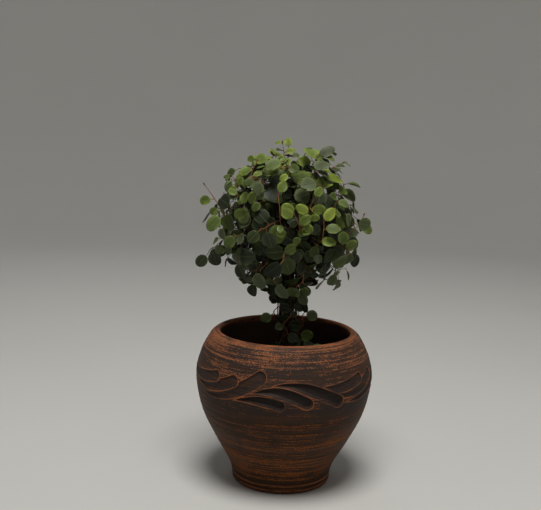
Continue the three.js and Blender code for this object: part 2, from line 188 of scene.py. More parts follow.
@dataclass(frozen=True)
class TrunkSizes:
    """Sizes of the trunk, in millimetres and turns."""

    axis: Pair = (2.6, 0.0)
    foot_height: float = 109
    soil_height: float = 122
    waist_height: float = 158
    part_height: float = 190
    wind_steps: int = 5
    bough_steps: int = 5
    swirl: float = 0.09
    bend: float = 0.62
    rings: tuple[TrunkRing, ...] = (
        TrunkRing(1, radius=0.3, spread=0.5, twist=0, start=0.1, girth=1.2, rise=80, reach=0.62),
        TrunkRing(4, radius=3.7, spread=7.5, twist=0.34, start=0.06, girth=1.15, rise=36, reach=0.6),
        TrunkRing(4, radius=7.2, spread=14, twist=-0.24, start=0.17, girth=1.05, rise=-10, reach=0.56),
    )


@dataclass(frozen=True)
class BallSizes:
    """Sizes of the leafy ball, in millimetres."""

    centre: Point = (-1, 0, 262)
    radius: float = 60
    stems: int = 35
    bare_cone: float = 0.9
    reach_steps: int = 2
    internode: float = 6.7
    arrive: float = 0.74
    bow: float = 7
    rising: float = 0.5
    outward: float = 0.75
    shell: float = 0.95
    pull: float = 2.2
    wander: float = 0.4
    seats: int = 30

    @property
    def middle(self) -> Vec:
        """The ball's centre."""
        return vec(*self.centre)


@dataclass(frozen=True)
class ShootSizes:
    """Sizes of the shoots that run along the ball's shell, in millimetres, and how they are tried."""

    girth: float
    runs: int
    leaves: int
    tries: int
    seat_stride: int = 1


@dataclass(frozen=True)
class LeafSizes:
    """Sizes of the leaves, in millimetres."""

    thickness: float = 0.7
    stalk: Pair = (2.4, 4.6)
    stalk_width: float = 0.8
    behind_node: float = 1.2
    length: Pair = (12.5, 18)
    young_length: Pair = (8.5, 12.5)
    slimness: Pair = (0.78, 0.96)
    arch: float = 0.12
    light: Point = (0, -0.5, 0.12)
    sway: float = 0.5
    spread: float = 0.85
    forward: float = 0.35
    hang: float = 0.4
    toss: float = 0.45
    lift: Pair = (0.25, 1.0)
    young_share: Pair = (0.25, 0.75)
    overlap: float = 0.0
    roundness: tuple[float, ...] = (48, 92, 137)
    tries: int = 36
    choices: int = 4


@dataclass(frozen=True)
class LedShoot:
    """A shoot led along given points: its way points, how many carry a leaf, and what the leaves face
    away from.
    """

    name: str
    leaves: int
    leaf_size: float
    behind: Point
    way: tuple[Point, ...]
    bare_tip: bool = False


LED_SHOOTS = (
    LedShoot("left_twig", 1, 0.62, (-60, 40, 262), (
        (-44, -12, 256), (-56, -14, 261), (-65, -11, 271), (-73, -8, 283),
        (-82.5, -6, 295.4)), bare_tip=True),
    LedShoot("right_twig", 3, 0.86, (62, 36, 256), (
        (42, -14, 243), (50, -14, 248.5), (57, -13, 252.5), (63.5, -12, 257), (68.8, -11, 263),
        (72.3, -10, 270.6)), bare_tip=True),
    LedShoot("crown_shoot", 4, 0.62, (-4, 40, 318), (
        (-6, -6, 308), (-2, -9, 317), (-3, -9, 325.5), (-1.5, -9, 332.5))),
    LedShoot("hanging_shoot", 2, 1, (-66, 34, 232), (
        (-44, -8, 232), (-56, -10, 236), (-66, -12, 237), (-74.5, -12, 234), (-77.8, -12, 228.5))),
    LedShoot("trunk_shoot_left", 4, 0.74, (2, 26, 172), (
        (-8, -9, 166), (-12, -12, 173), (-8, -15, 180), (-11, -13, 188))),
    LedShoot("trunk_shoot_right", 5, 0.8, (4, 22, 168), (
        (12, -10, 153), (17, -12, 161), (16, -14, 170), (21, -12, 178), (18, -10, 187))),
    LedShoot("trunk_shoot_front", 5, 0.66, (2, 30, 150), (
        (2, -15, 141), (-4, -17, 147), (2, -19, 154), (-2, -18, 162), (4, -17, 170))),
    LedShoot("rim_shoot", 2, 0.82, (16, -4, 108), ((10, -13, 134), (17, -18, 138), (23, -22, 141))),
)


LEAFY_STEM = ShootSizes(girth=0.7, runs=5, leaves=6, tries=4)
TWIG = ShootSizes(girth=0.4, runs=3, leaves=5, tries=3, seat_stride=3)
TWIG_COUNT = 300
TWIG_TURN = 1.3
TWIG_ARRIVE = (0.25, 1.0)


@dataclass(frozen=True)
class RunnerSizes:
    """Thin stems among the trunk stems, in millimetres and turns."""

    count: int = 96
    girth: float = 0.5
    climb: Pair = (112, 186)
    steps: int = 8
    twist: Pair = (-0.5, 0.5)
    lanes: tuple[Pair, ...] = (
        (10.7, 5.5), (16.8, 9.4), (4.0, 2.0), (18.5, 10.8), (13.6, 7.3),
    )
    hub_rise: float = 20
    part_steps: int = 4
    part_reach: Pair = (10, 36)
    part_height: Pair = (208, 250)
    stray: float = 0.6
    swirl: float = 1.15
    bend: float = 0.7
    leaves: int = 10
    leaf_size: Pair = (0.62, 1.05)
    tries: int = 16
    slack: float = 0.5
    leaves_from: float = 179


@dataclass(frozen=True)
class SkinShoots:
    """Shoots led over the ball's skin by numbered ways along it, in millimetres."""

    name: str
    seed: int
    leaf_size: float
    is_young: bool
    ways: dict[int, tuple[Point, ...]]
    girth: float = 0.42
    inside: float = 0.62
    leaves: int = 3
    behind: Point = (0, 45, -4)
    swells: tuple[float, ...] = (1.0, 1.04, 1.08, 1.12, 0.96)
    tries: int = 5
    stray: float = 2.2


SMALL_LEAF = LeafSizes(
    thickness=0.3, stalk_width=0.4, stalk=(1.8, 3.6), length=(9, 15), young_length=(7, 10.5),
    slimness=(0.66, 0.95), light=(0, -0.15, 0.3), sway=0.72, overlap=0.2, tries=22, choices=1,
)
YOUNG = SkinShoots("young_shoot", 6999, 0.98, True, {
    1: ((-9, -62, 264), (-10, -63, 278), (-11, -59, 292)),
    2: ((8, -64, 257), (6, -66, 266), (4, -65, 275)),
    3: ((9, -66, 260), (11, -65, 267), (15, -63, 273)),
    4: ((19, -61, 275), (19, -60, 283), (21, -56, 291)),
    7: ((-32, -48, 295), (-34, -38, 306), (-29, -26, 317)),
    8: ((-2, -42, 312), (-12, -34, 318), (-20, -23, 322)),
    9: ((5, -34, 316), (-2, -41, 316), (-9, -42, 315)),
    10: ((34, -16, 311), (43, -10, 317), (49, -9, 322)),
    11: ((20, -14, 318), (28, -10, 326), (33, -9, 332)),
    12: ((28, -60, 252), (30, -60, 262), (33, -58, 270)),
    13: ((-6, -13, 321), (-8, -14, 330), (-9, -14, 336)),
    15: ((-14, -14, 316), (-15, -15, 322), (-15, -15, 327)),
    16: ((-50, -18, 298), (-54, -18, 303), (-57, -17, 306)),
})
OUTER = SkinShoots("outer_shoot", 7499, 1.12, False, {
    2: ((21, -14, 309), (24, -14, 316), (25, -14, 321)),
    3: ((34, -14, 303), (38, -14, 310), (40, -14, 316)),
    6: ((-44, -24, 284), (-48, -25, 289), (-51, -25, 294)),
    8: ((-54, -18, 246), (-60, -18, 251), (-62, -17, 256)),
    10: ((-58, -10, 240), (-65, -10, 241), (-70, -10, 238)),
    12: ((-26, -20, 214), (-30, -20, 207), (-32, -20, 201)),
    14: ((12, -18, 200), (14, -18, 193), (15, -18, 187)),
    15: ((40, -16, 222), (45, -16, 216), (48, -16, 210)),
    17: ((44, -12, 289), (49, -12, 295), (52, -12, 300)),
    19: ((58, -12, 246), (64, -12, 240), (68, -12, 234)),
}, inside=0.7)
RUNNERS = RunnerSizes()


@dataclass(frozen=True)
class Seeds:
    """First seed of each row of random numbers, and how far apart the rows of two shoots lie."""

    crumbs: int = 77
    ball_shoots: int = 100
    bark: int = 400
    shoot_tones: int = 600
    twig_tones: int = 700
    leaves: int = 1000
    twigs: int = 3000
    runners: int = 5000
    small_leaves: int = 9000
    spare_leaves: int = 15000
    twig_leaves: int = 21000
    twig_pairs: int = 31000
    shoot_stride: int = 40


SEEDS = Seeds()


@dataclass
class Hull:
    """A rounded hull that others keep clear of: corner points, the radius round them and its own axes."""

    owner: str
    points: Vec
    radius: float
    axes: Vec
    nodes: tuple[int, ...] = ()
    centre: Vec = field(init=False)
    reach: float = field(init=False)

    def __post_init__(self) -> None:
        """Works out the ball that holds the hull."""
        self.centre = (self.points.min(0) + self.points.max(0)) / 2
        away = self.points - self.centre
        self.reach = math.sqrt(float((away * away).sum(1).max())) + self.radius

    def is_apart(self, other: "Hull") -> bool:
        """Whether a gap lies between this hull and another.

        Args:
            other: the other hull.

        Returns:
            True where some direction shows the gap.
        """
        between = other.centre - self.centre
        own = np.vstack([self.axes, other.axes])
        slanting = between - own * (own @ between)[:, None]
        a, b = self.axes[:, None, :], other.axes[None, :, :]
        turned = a[..., [1, 2, 0]] * b[..., [2, 0, 1]] - a[..., [2, 0, 1]] * b[..., [1, 2, 0]]
        tests = np.vstack([between, own, slanting, turned.reshape(-1, 3)])
        size = np.sqrt((tests * tests).sum(1))
        tests = (tests[size > 1e-6] / size[size > 1e-6, None]).T
        mine, theirs = self.points @ tests, other.points @ tests
        room = np.maximum(theirs.min(0) - mine.max(0), mine.min(0) - theirs.max(0))
        return bool(room.max() >= self.radius + other.radius + GAP)


class Room:
    """All hulls placed so far."""

    def __init__(self) -> None:
        """Starts with nothing placed."""
        self.hulls: list[Hull] = []
        self.centres = np.empty((0, 3))
        self.reaches = np.empty(0)

    def add(self, hulls: list[Hull]) -> None:
        """Places some hulls."""
        self.hulls += hulls
        self.centres = np.vstack([self.centres, [hull.centre for hull in hulls]])
        self.reaches = np.append(self.reaches, [hull.reach for hull in hulls])

    def is_clear(self, hull: Hull, spared: Callable[[Hull], bool] = lambda other: False) -> bool:
        """Whether a new hull keeps clear of all placed ones.

        Args:
            hull: the new hull.
            spared: tells which placed hulls don't matter.

        Returns:
            True where the hull has room.
        """
        away = self.centres - hull.centre
        near = np.flatnonzero(np.sqrt((away * away).sum(1)) <= self.reaches + hull.reach + GAP)
        return all(spared(self.hulls[i]) or hull.is_apart(self.hulls[i]) for i in near)

    def openness(self, hull: Hull) -> float:
        """Distance from a hull's middle to the nearest placed middle."""
        away = self.centres - hull.centre
        return math.sqrt(float((away * away).sum(1).min()))


def internode_hulls(owner: str, points: list[Vec], girth: float) -> list[Hull]:
    """A hull for each internode of a stem, by its name, its nodes and its radius.

    Args:
        owner: name of the stem.
        points: its nodes.
        girth: its radius.

    Returns:
        The hulls in order.
    """
    return [
        Hull(owner, np.array([start, end]), girth, along(start, end)[None], (node, node + 1))
        for node, (start, end) in enumerate(zip(points[:-1], points[1:]))
    ]


def bough(part: Vec, end: Vec, lift: float, steps: int) -> list[Vec]:
    """The points of a bough, which rises where a stem parts and then bends over.

    Args:
        part: where the stem parts.
        end: where the bough ends.
        lift: how much of its height the bough gains before it bends.
        steps: how many points it has.

    Returns:
        The points.
    """
    bend = part + UP * (lift * (end[2] - part[2]))
    shares = [step / steps for step in range(1, steps + 1)]
    return [part * (1 - t) ** 2 + bend * (2 * t * (1 - t)) + end * t**2 for t in shares]


@dataclass
class Leaf:
    """One leaf: a stalk from root to neck, then a blade in its own directions."""

    root: Vec
    neck: Vec
    rise: Vec
    pointing: Vec
    facing: Vec
    side: Vec
    length: float
    width: float
    young: bool
    arch: float
    node: int

    def blade_point(self, degrees: float, sign: int) -> Vec:
        """A point on the blade's outline.

        Args:
            degrees: 0 at the neck and 180 at the tip.
            sign: 1 or -1 for the two sides, 0 for the midrib.

        Returns:
            The point, in millimetres.
        """
        angle = math.radians(degrees)
        reach = self.length / 2 * (1 - math.cos(angle))
        out = sign * self.width / 2 * math.sin(angle)
        droop = self.arch * reach**2 / self.length
        return self.neck + self.pointing * reach + self.side * out - self.facing * droop

    def hulls(self, owner: str, sizes: LeafSizes) -> tuple[Hull, Hull]:
        """The hulls of the blade and of the stalk.

        Args:
            owner: name of the shoot.
            sizes: sizes of the leaves.

        Returns:
            The blade's hull and the stalk's hull.
        """
        rim = [self.blade_point(degrees, sign) for degrees in sizes.roundness for sign in (1, -1)]
        outline = np.array([self.neck, *rim, self.blade_point(180, 0)])
        if sizes.overlap:
            outline += (outline.mean(0) - outline) * sizes.overlap
        axes = np.array([self.facing, self.pointing, self.side])
        stalk = np.array([self.root, self.neck])
        blade = Hull(owner, outline, sizes.thickness / 2, axes)
        return blade, Hull(owner, stalk, sizes.stalk_width / 2, self.rise[None])


@dataclass
class Stem:
    """A row of nodes joined by internodes, with its leaves."""

    name: str
    points: list[Vec]
    girth: float
    carrier: str = ""
    hub: Vec | None = None
    leaf_count: int = 0
    leaf_size: float = 1.0
    bare_tip: bool = False
    is_young: bool = False
    leaves: list[Leaf] = field(default_factory=list)


@dataclass(frozen=True)
class Axil:
    """A place for a leaf: a node of a shoot and the side that the leaf leaves from, 1 or -1."""

    shoot: Stem
    node: int
    side: int
    first_seed: int
    order: int

    def draws(self) -> Draws:
        """The leaf's own random numbers, by its kind's first seed and the shoot's place in its row."""
        return Draws(self.first_seed + SEEDS.shoot_stride * self.order + self.node)


@dataclass
class Seat:
    """A place on a trunk stem where a shoot may start."""

    SLANT = 60.0
    IN_LINE = 0.85
    BEHIND = 0.1

    stem: Stem
    point: Vec
    direction: Vec

    def start(self, towards: Vec, girth: float) -> Vec:
        """The first point of a shoot that leaves the stem here.

        Args:
            towards: where the shoot goes.
            girth: the shoot's radius.

        Returns:
            A point a little clear of the stem's skin.
        """
        out = towards - self.point
        slant = abs(float(out @ self.direction)) / length(out)
        skin = self.stem.girth + GAP + girth * slant
        return self.point + unit(square_to(out, self.direction)) * skin

    def cost(self, goal: Vec) -> float:
        """How ill the seat suits a goal: far off, or nearly in line with the stem, or behind it.

        Args:
            goal: the place that the shoot grows to.

        Returns:
            The cost, in millimetres.
        """
        out = goal - self.point
        forward = float(out @ self.direction) / length(out)
        ahead, behind = max(0.0, forward - self.IN_LINE), max(0.0, self.BEHIND - forward)
        return length(out) + self.SLANT * ahead + self.SLANT * behind


@dataclass
class Growth:
    """The whole plant as it grows: trunk stems, shoots and leaves in the order that the solids have."""

    trunk: TrunkSizes = field(default_factory=TrunkSizes)
    ball: BallSizes = field(default_factory=BallSizes)
    leaf: LeafSizes = field(default_factory=LeafSizes)
    room: Room = field(default_factory=Room)
    trunk_stems: list[Stem] = field(default_factory=list)
    shoots: list[Stem] = field(default_factory=list)
    twigs: list[Stem] = field(default_factory=list)
    seats: list[Seat] = field(default_factory=list)

    def grow(self) -> None:
        """Grows the trunk, then the shoots, then the leaves."""
        for ring in self.trunk.rings:
            for index in range(ring.count):
                self.trunk_stems.append(self.trunk_stem(ring, index))
        for stem in self.trunk_stems:
            self.room.add(internode_hulls(stem.name, stem.points, stem.girth))
        self.seats = self.trunk_seats()
        for led in LED_SHOOTS:
            self.keep(self.shoots, self.led_shoots(led))
        for index, goal in enumerate(self.goals(self.ball.stems)):
            draws, name = Draws(SEEDS.ball_shoots + index), f"leafy_stem_{index + 1:02d}"
            self.keep(self.shoots, self.shell_shoots(name, draws, goal, self.ball.arrive, LEAFY_STEM))
        for order, shoot in enumerate(self.shoots):
            self.grow_leaves(shoot, order)

    def keep(self, kept: list[Stem], tries: Iterable[Stem], slack: float = 0.0) -> None:
        """Places the first of some shoots that finds room, where one does.

        Args:
            kept: the row that the shoot joins.
            tries: the shoots to try, in order.
            slack: how much closer than usual it may come to others.
        """
        shoot = next((shoot for shoot in tries if self.fits(shoot, slack)), None)
        if shoot is not None:
            self.room.add(internode_hulls(shoot.name, shoot.points, shoot.girth))
            kept.append(shoot)

    def beside_axis(self, bearing: float, radius: float, height: float) -> Vec:
        """A point at a bearing and a distance from the trunk's axis."""
        x, y = self.trunk.axis
        return vec(x + radius * math.cos(bearing), y + radius * math.sin(bearing), height)

    def winding(self, spread: float, waist: float, height: float) -> float:
        """How far from the axis a stem winds at a height, gathered in from the soil to the waist.

        Args:
            spread: its distance at the soil.
            waist: its distance at the waist.
            height: the height.

        Returns:
            The distance.
        """
        low, high = self.trunk.soil_height, self.trunk.waist_height
        rise = min(max((height - low) / (high - low), 0), 1)
        return lerp((spread, waist), rise * (2 - rise))

    def trunk_stem(self, ring: TrunkRing, index: int) -> Stem:
        """One trunk stem: wound from the soil to the ball, then parted as a bough.

        Args:
            ring: the ring that the stem belongs to.
            index: its place in the ring.

        Returns:
            The stem.
        """
        sizes, ball = self.trunk, self.ball

        def angle(turns: float) -> float:
            """The bearing after some turns."""
            return TURN * (ring.start + index / ring.count + ring.twist * turns)

        points = [self.beside_axis(angle(0), ring.spread, sizes.foot_height)]
        for step in range(sizes.wind_steps + 1):
            height = lerp((sizes.soil_height, sizes.part_height), step / sizes.wind_steps)
            radius = self.winding(ring.spread, ring.radius, height)
            points.append(self.beside_axis(angle(step / sizes.wind_steps), radius, height))
        rise = math.radians(ring.rise)
        bearing = angle(1) + TURN * sizes.swirl * float(np.sign(ring.twist))
        heading = vec(math.cos(bearing), math.sin(bearing), 0) * math.cos(rise) + UP * math.sin(rise)
        end = ball.middle + heading * (ring.reach * ball.radius)
        points += bough(points[-1], end, sizes.bend, sizes.bough_steps)
        return Stem(f"trunk_stem_{len(self.trunk_stems) + 1}", points, ring.girth)

    def trunk_seats(self) -> list[Seat]:
        """Three seats on each internode of each trunk stem.

        Returns:
            The seats in order.
        """
        return [
            Seat(stem, a + (b - a) * share, along(a, b))
            for stem in self.trunk_stems
            for a, b in zip(stem.points[:-1], stem.points[1:])
            for share in (0.2, 0.5, 0.8)
        ]

    def best_seats(self, goal: Vec) -> list[Seat]:
        """The seats that suit a goal best."""
        return sorted(self.seats, key=lambda seat: seat.cost(goal))[: self.ball.seats]

    def fits(self, shoot: Stem, slack: float = 0.0) -> bool:
        """Whether a shoot has room, its first internode apart from the stem that carries it.

        Args:
            shoot: the shoot.
            slack: how much closer than usual it may come to others.

        Returns:
            True where the shoot has room.
        """
        first, *rest = internode_hulls(shoot.name, shoot.points, shoot.girth - slack)
        on_carrier = self.room.is_clear(first, lambda other: other.owner == shoot.carrier)
        return on_carrier and all(self.room.is_clear(hull) for hull in rest)

    def led_shoots(self, led: LedShoot) -> Iterator[Stem]:
        """A shoot led along given points, as it would grow from each seat that suits it.

        Args:
            led: the way points.

        Yields:
            The shoot from each seat.
        """
        way = [vec(*point) for point in led.way]
        girth, hub = LEAFY_STEM.girth, vec(*led.behind)
        for seat in self.best_seats(way[0]):
            points = [seat.start(way[0], girth), *way]
            carrier = seat.stem.name
            yield Stem(led.name, points, girth, carrier, hub, led.leaves, led.leaf_size, led.bare_tip)

    def shell_path(
        self, draws: Draws, seat: Seat, goal: Vec, arrive: float, sizes: ShootSizes
    ) -> list[Vec]:
        """A bowed reach to the ball's shell, then a wandering run along it.

        Args:
            draws: random numbers.
            seat: where the shoot starts.
            goal: direction from the ball's centre.
            arrive: where the run starts, as a share of the ball's radius.
            sizes: sizes of the shoot.

        Returns:
            The shoot's nodes.
        """
        ball = self.ball
        arrival = ball.middle + goal * (arrive * ball.radius)
        bow = draws.vector(ball.bow)
        points = []
        for step in range(1, ball.reach_steps + 1):
            t = step / ball.reach_steps
            points.append(seat.point + (arrival - seat.point) * t + bow * math.sin(math.pi * t))
        points.insert(0, seat.start(points[0], sizes.girth))
        sideways = unit(square_to(draws.vector(1) + UP * (ball.rising * goal[2]), goal))
        heading = goal * ball.outward + sideways
        for _ in range(sizes.runs):
            radial = points[-1] - ball.middle
            lift = ball.pull * (ball.shell - length(radial) / ball.radius)
            heading = unit(heading) + unit(radial) * lift + draws.vector(ball.wander)
            points.append(points[-1] + unit(heading) * ball.internode)
            heading = unit(heading)
        return points

    def goals(self, count: int, turn: float = 0.0) -> list[Vec]:
        """Even directions round the ball, leaving bare the cone where the trunk comes in.

        Args:
            count: how many directions.
            turn: turns them all about the upright, in radians.

        Returns:
            The directions.
        """
        golden = math.pi * (3 - math.sqrt(5))
        goals = []
        for index in range(count):
            height = 1 - ((index + 0.5) / count) * (1 + self.ball.bare_cone)
            flat = math.sqrt(1 - height * height)
            angle = golden * index + turn
            goals.append(vec(flat * math.cos(angle), flat * math.sin(angle), height))
        return goals

    def shell_shoots(
        self, name: str, draws: Draws, goal: Vec, arrive: float, sizes: ShootSizes
    ) -> Iterator[Stem]:
        """A shoot that runs along the ball's shell, as it would grow from each seat and draw.

        Args:
            name: the shoot's name.
            draws: random numbers.
            goal: direction from the ball's centre.
            arrive: where the run starts, as a share of the ball's radius.
            sizes: sizes of the shoot.

        Yields:
            The shoot from each seat, some draws for each.
        """
        ball = self.ball
        seats = self.best_seats(ball.middle + goal * (arrive * ball.radius))
        for seat in seats[:: sizes.seat_stride]:
            for _ in range(sizes.tries):
                points = self.shell_path(draws, seat, goal, arrive, sizes)
                yield Stem(name, points, sizes.girth, seat.stem.name, ball.middle, sizes.leaves)

    def draw_leaf(self, axil: Axil, draws: Draws, sizes: LeafSizes) -> Leaf:
        """One draw of a leaf.

        Args:
            axil: its place.
            draws: random numbers.
            sizes: sizes of the leaves.

        Returns:
            The leaf.
        """
        shoot, node, last = axil.shoot, axil.node, len(axil.shoot.points) - 1
        run = along(shoot.points[node - 1], shoot.points[node])
        radial = along(shoot.hub, shoot.points[node])
        sideways = unit(crossed(run, radial)) * (0 if node == last else axil.side)
        facing = unit(radial + vec(*sizes.light) + draws.vector(sizes.sway))
        hang = sideways * sizes.spread + run * (1 if node == last else sizes.forward) - UP * sizes.hang
        pointing = unit(square_to(hang + draws.vector(sizes.toss), facing))
        lift = lerp(sizes.lift, draws.next())
        young = draws.next() < lerp(sizes.young_share, radial[2]) and node >= last - 2
        leaf_length = shoot.leaf_size * lerp(sizes.young_length if young else sizes.length, draws.next())
        width = leaf_length * lerp(sizes.slimness, draws.next())
        stalk = lerp(sizes.stalk, draws.next())
        rise = pointing * math.cos(lift) + facing * math.sin(lift)
        root = shoot.points[node] - run * sizes.behind_node
        neck = root + rise * stalk
        arch = sizes.arch * draws.next()
        across = crossed(facing, pointing)
        return Leaf(root, neck, rise, pointing, facing, across, leaf_length, width, young, arch, node)

    def try_leaf(self, axil: Axil, sizes: LeafSizes) -> None:
        """Adds the most open of the draws that find room in an axil, where there is one.

        Args:
            axil: the leaf's place.
            sizes: sizes of the leaf's hulls, and how many draws to make.
        """
        name = axil.shoot.name

        def is_nearby(other: Hull) -> bool:
            """Whether a hull is an internode of this shoot that ends at this node."""
            return other.owner == name and axil.node in other.nodes

        draws, choices = axil.draws(), []
        for _ in range(sizes.tries):
            leaf = self.draw_leaf(axil, draws, sizes)
            blade, stalk = leaf.hulls(name, sizes)
            if self.room.is_clear(blade) and self.room.is_clear(stalk, is_nearby):
                choices.append((self.room.openness(blade), leaf, blade, stalk))
            if len(choices) == sizes.choices:
                break
        if choices:
            _, leaf, blade, stalk = max(choices, key=lambda choice: choice[0])
            self.room.add([blade, stalk])
            axil.shoot.leaves.append(leaf)

    def grow_leaves(self, shoot: Stem, order: int) -> None:
        """The leaves of one shoot, alternate from node to node.

        Args:
            shoot: the shoot.
            order: its place among the shoots, which gives its seeds.
        """
        last = len(shoot.points) - 1
        end = last - 1 if shoot.bare_tip else last
        for node in range(end, end - shoot.leaf_count, -1):
            side = 1 if node % 2 else -1
            self.try_leaf(Axil(shoot, node, side, SEEDS.leaves, order), self.leaf)

    def fill(self) -> None:
        """Grows the finer shoots, leaves and twigs that the solids leave out, where room is left."""
        for kind in (YOUNG, OUTER):
            for number in kind.ways:
                self.keep(self.twigs, self.skin_shoots(kind, number), kind.girth)
        for order, shoot in enumerate(self.shoots):
            last = len(shoot.points) - 1
            for node in range(1, last + (-2 if shoot.bare_tip else 1)):
                side = -1 if node % 2 else 1
                self.try_leaf(Axil(shoot, node, side, SEEDS.small_leaves, order), SMALL_LEAF)
                if node < last - shoot.leaf_count + 1:
                    self.try_leaf(Axil(shoot, node, -side, SEEDS.spare_leaves, order), SMALL_LEAF)
        for index in range(RUNNERS.count):
            self.keep(self.twigs, self.runners(index), RUNNERS.slack)
        for index, goal in enumerate(self.goals(TWIG_COUNT, TWIG_TURN)):
            draws, name = Draws(SEEDS.twigs + index), f"twig_{index + 1:03d}"
            arrive = lerp(TWIG_ARRIVE, draws.next())
            self.keep(self.twigs, self.shell_shoots(name, draws, goal, arrive, TWIG), TWIG.girth / 2)
        for order, twig in enumerate(self.twigs):
            last = len(twig.points) - 1
            for node in range(last, last - twig.leaf_count, -1):
                if twig.points[node][2] < RUNNERS.leaves_from:
                    break
                side = 1 if node % 2 else -1
                self.try_leaf(Axil(twig, node, side, SEEDS.twig_leaves, order), SMALL_LEAF)
                if node != last and not twig.is_young:
                    self.try_leaf(Axil(twig, node, -side, SEEDS.twig_pairs, order), SMALL_LEAF)

    def skin_shoots(self, kind: SkinShoots, number: int) -> Iterator[Stem]:
        """A shoot that comes out of the ball and runs along its skin, at each swell and seat.

        Args:
            kind: the sort of shoot.
            number: the number of its way.

        Yields:
            The shoot at each swell, then from the next seat.
        """
        draws, middle = Draws(kind.seed + number), self.ball.middle
        hub = middle + vec(*kind.behind)
        for attempt in range(kind.tries * len(kind.swells)):
            swell = kind.swells[attempt % len(kind.swells)]
            skin = [
                middle + (vec(*point) - middle) * swell + draws.vector(kind.stray)
                for point in kind.ways[number]
            ]
            inside = middle + (skin[0] - middle) * kind.inside
            seat = self.best_seats(inside)[attempt // len(kind.swells)]
            points = [seat.start(inside, kind.girth), inside, *skin]
            name = f"{kind.name}_{number:02d}"
            yield Stem(name, points, kind.girth, seat.stem.name, hub, kind.leaves, kind.leaf_size,
                       is_young=kind.is_young)

    def runners(self, index: int) -> Iterator[Stem]:
        """A thin stem that winds up among the trunk stems into the ball, some draws of it.

        Args:
            index: its place among the runners.

        Yields:
            The runner, drawn anew each time.
        """
        draws, name = Draws(SEEDS.runners + index), f"runner_{index + 1:02d}"
        spread, waist = RUNNERS.lanes[index % len(RUNNERS.lanes)]
        hub = vec(*self.trunk.axis, self.trunk.waist_height + RUNNERS.hub_rise)
        for _ in range(RUNNERS.tries):
            start, twist = TURN * draws.next(), TURN * lerp(RUNNERS.twist, draws.next())
            points = []
            for step in range(RUNNERS.steps + 1):
                height = lerp(RUNNERS.climb, step / RUNNERS.steps)
                radius = self.winding(spread, waist, height) + RUNNERS.stray * (draws.next() - 0.5)
                points.append(self.beside_axis(start + twist * step / RUNNERS.steps, radius, height))
            reach = lerp(RUNNERS.part_reach, draws.next())
            height = lerp(RUNNERS.part_height, draws.next())
            end = self.beside_axis(start + twist * RUNNERS.swirl, reach, height)
            points += bough(points[-1], end, RUNNERS.bend, RUNNERS.part_steps)
            leaf_size = lerp(RUNNERS.leaf_size, draws.next())
            yield Stem(name, points, RUNNERS.girth, "", hub, RUNNERS.leaves, leaf_size)


# Modelling tools


def activate(piece: Piece) -> None:
    """Makes a piece the one that operators act on, with nothing else selected."""
    bpy.ops.object.select_all(action="DESELECT")
    piece.select_set(True)
    bpy.context.view_layer.objects.active = piece


@contextmanager
def editing(piece: Piece, kind: str = "VERT") -> Iterator[None]:
    """Opens a piece in edit mode with all of it selected.

    Args:
        piece: the piece.
        kind: VERT, EDGE or FACE.

    Yields:
        Nothing; the piece is back in object mode afterwards.
    """
    activate(piece)
    bpy.ops.object.mode_set(mode="EDIT")
    bpy.ops.mesh.select_mode(type=kind)
    bpy.ops.mesh.select_all(action="SELECT")
    yield
    bpy.ops.object.mode_set(mode="OBJECT")


def points_of(piece: Piece) -> Vec:
    """The places of a piece's vertices, in millimetres."""
    values = np.empty(len(piece.data.vertices) * 3)
    piece.data.vertices.foreach_get("co", values)
    return values.reshape(-1, 3) / MM


def move_points(piece: Piece, points: Vec) -> None:
    """Sets the places of a piece's vertices, given in millimetres."""
    piece.data.vertices.foreach_set("co", (points * MM).ravel())
    piece.data.update()


def paint(piece: Piece, layer: str, values: Vec) -> None:
    """Stores a colour for each vertex of a piece.

    Args:
        piece: the piece.
        layer: name of the colour attribute.
        values: three columns, one row for each vertex.
    """
    attribute = piece.data.color_attributes.get(layer)
    if attribute is None:
        attribute = piece.data.color_attributes.new(layer, "FLOAT_COLOR", "POINT")
    colours = np.column_stack([values, np.ones(len(values))])
    attribute.data.foreach_set("color", colours.ravel())


def linked(name: str, data: bpy.types.ID | None) -> Piece:
    """A new object in the scene."""
    piece = bpy.data.objects.new(name, data)
    bpy.context.scene.collection.objects.link(piece)
    return piece


def copy_of(model: Piece) -> Piece:
    """A copy of a piece, with its own mesh.

    Args:
        model: the piece to copy.

    Returns:
        The copy.
    """
    piece = model.copy()
    piece.data = model.data.copy()
    bpy.context.scene.collection.objects.link(piece)
    return piece


def turned(name: str, profile: Vec, steps: int) -> Piece:
    """A closed body turned round the upright axis from its profile.

    Args:
        name: the piece's name.
        profile: radius and height of each point, in millimetres, from axis to axis.
        steps: how many columns the body has.

    Returns:
        The piece, its seam and poles closed and its faces outward.
    """
    mesh = bpy.data.meshes.new(name)
    corners = [(radius * MM, 0, height * MM) for radius, height in profile]
    mesh.from_pydata(corners, [(i, i + 1) for i in range(len(corners) - 1)], [])
    piece = linked(name, mesh)
    with editing(piece):
        bpy.ops.mesh.spin(steps=steps, angle=TURN, center=(0, 0, 0), axis=(0, 0, 1))
        bpy.ops.mesh.select_all(action="SELECT")
        bpy.ops.mesh.remove_doubles(threshold=1e-6)
        bpy.ops.mesh.normals_make_consistent(inside=False)
    return piece


def smooth(piece: Piece, degrees: float) -> None:
    """Shades a piece smooth, with edges sharper than an angle kept."""
    activate(piece)
    bpy.ops.object.shade_smooth_by_angle(angle=math.radians(degrees))


def join(name: str, pieces: list[Piece]) -> Piece:
    """Joins pieces into one.

    Args:
        name: the joined piece's name.
        pieces: the pieces, the first of which takes in the rest.

    Returns:
        The joined piece.
    """
    activate(pieces[0])
    for piece in pieces[1:]:
        piece.select_set(True)
    if len(pieces) > 1:
        bpy.ops.object.join()
    pieces[0].name = name
    pieces[0].data.name = name
    return pieces[0]


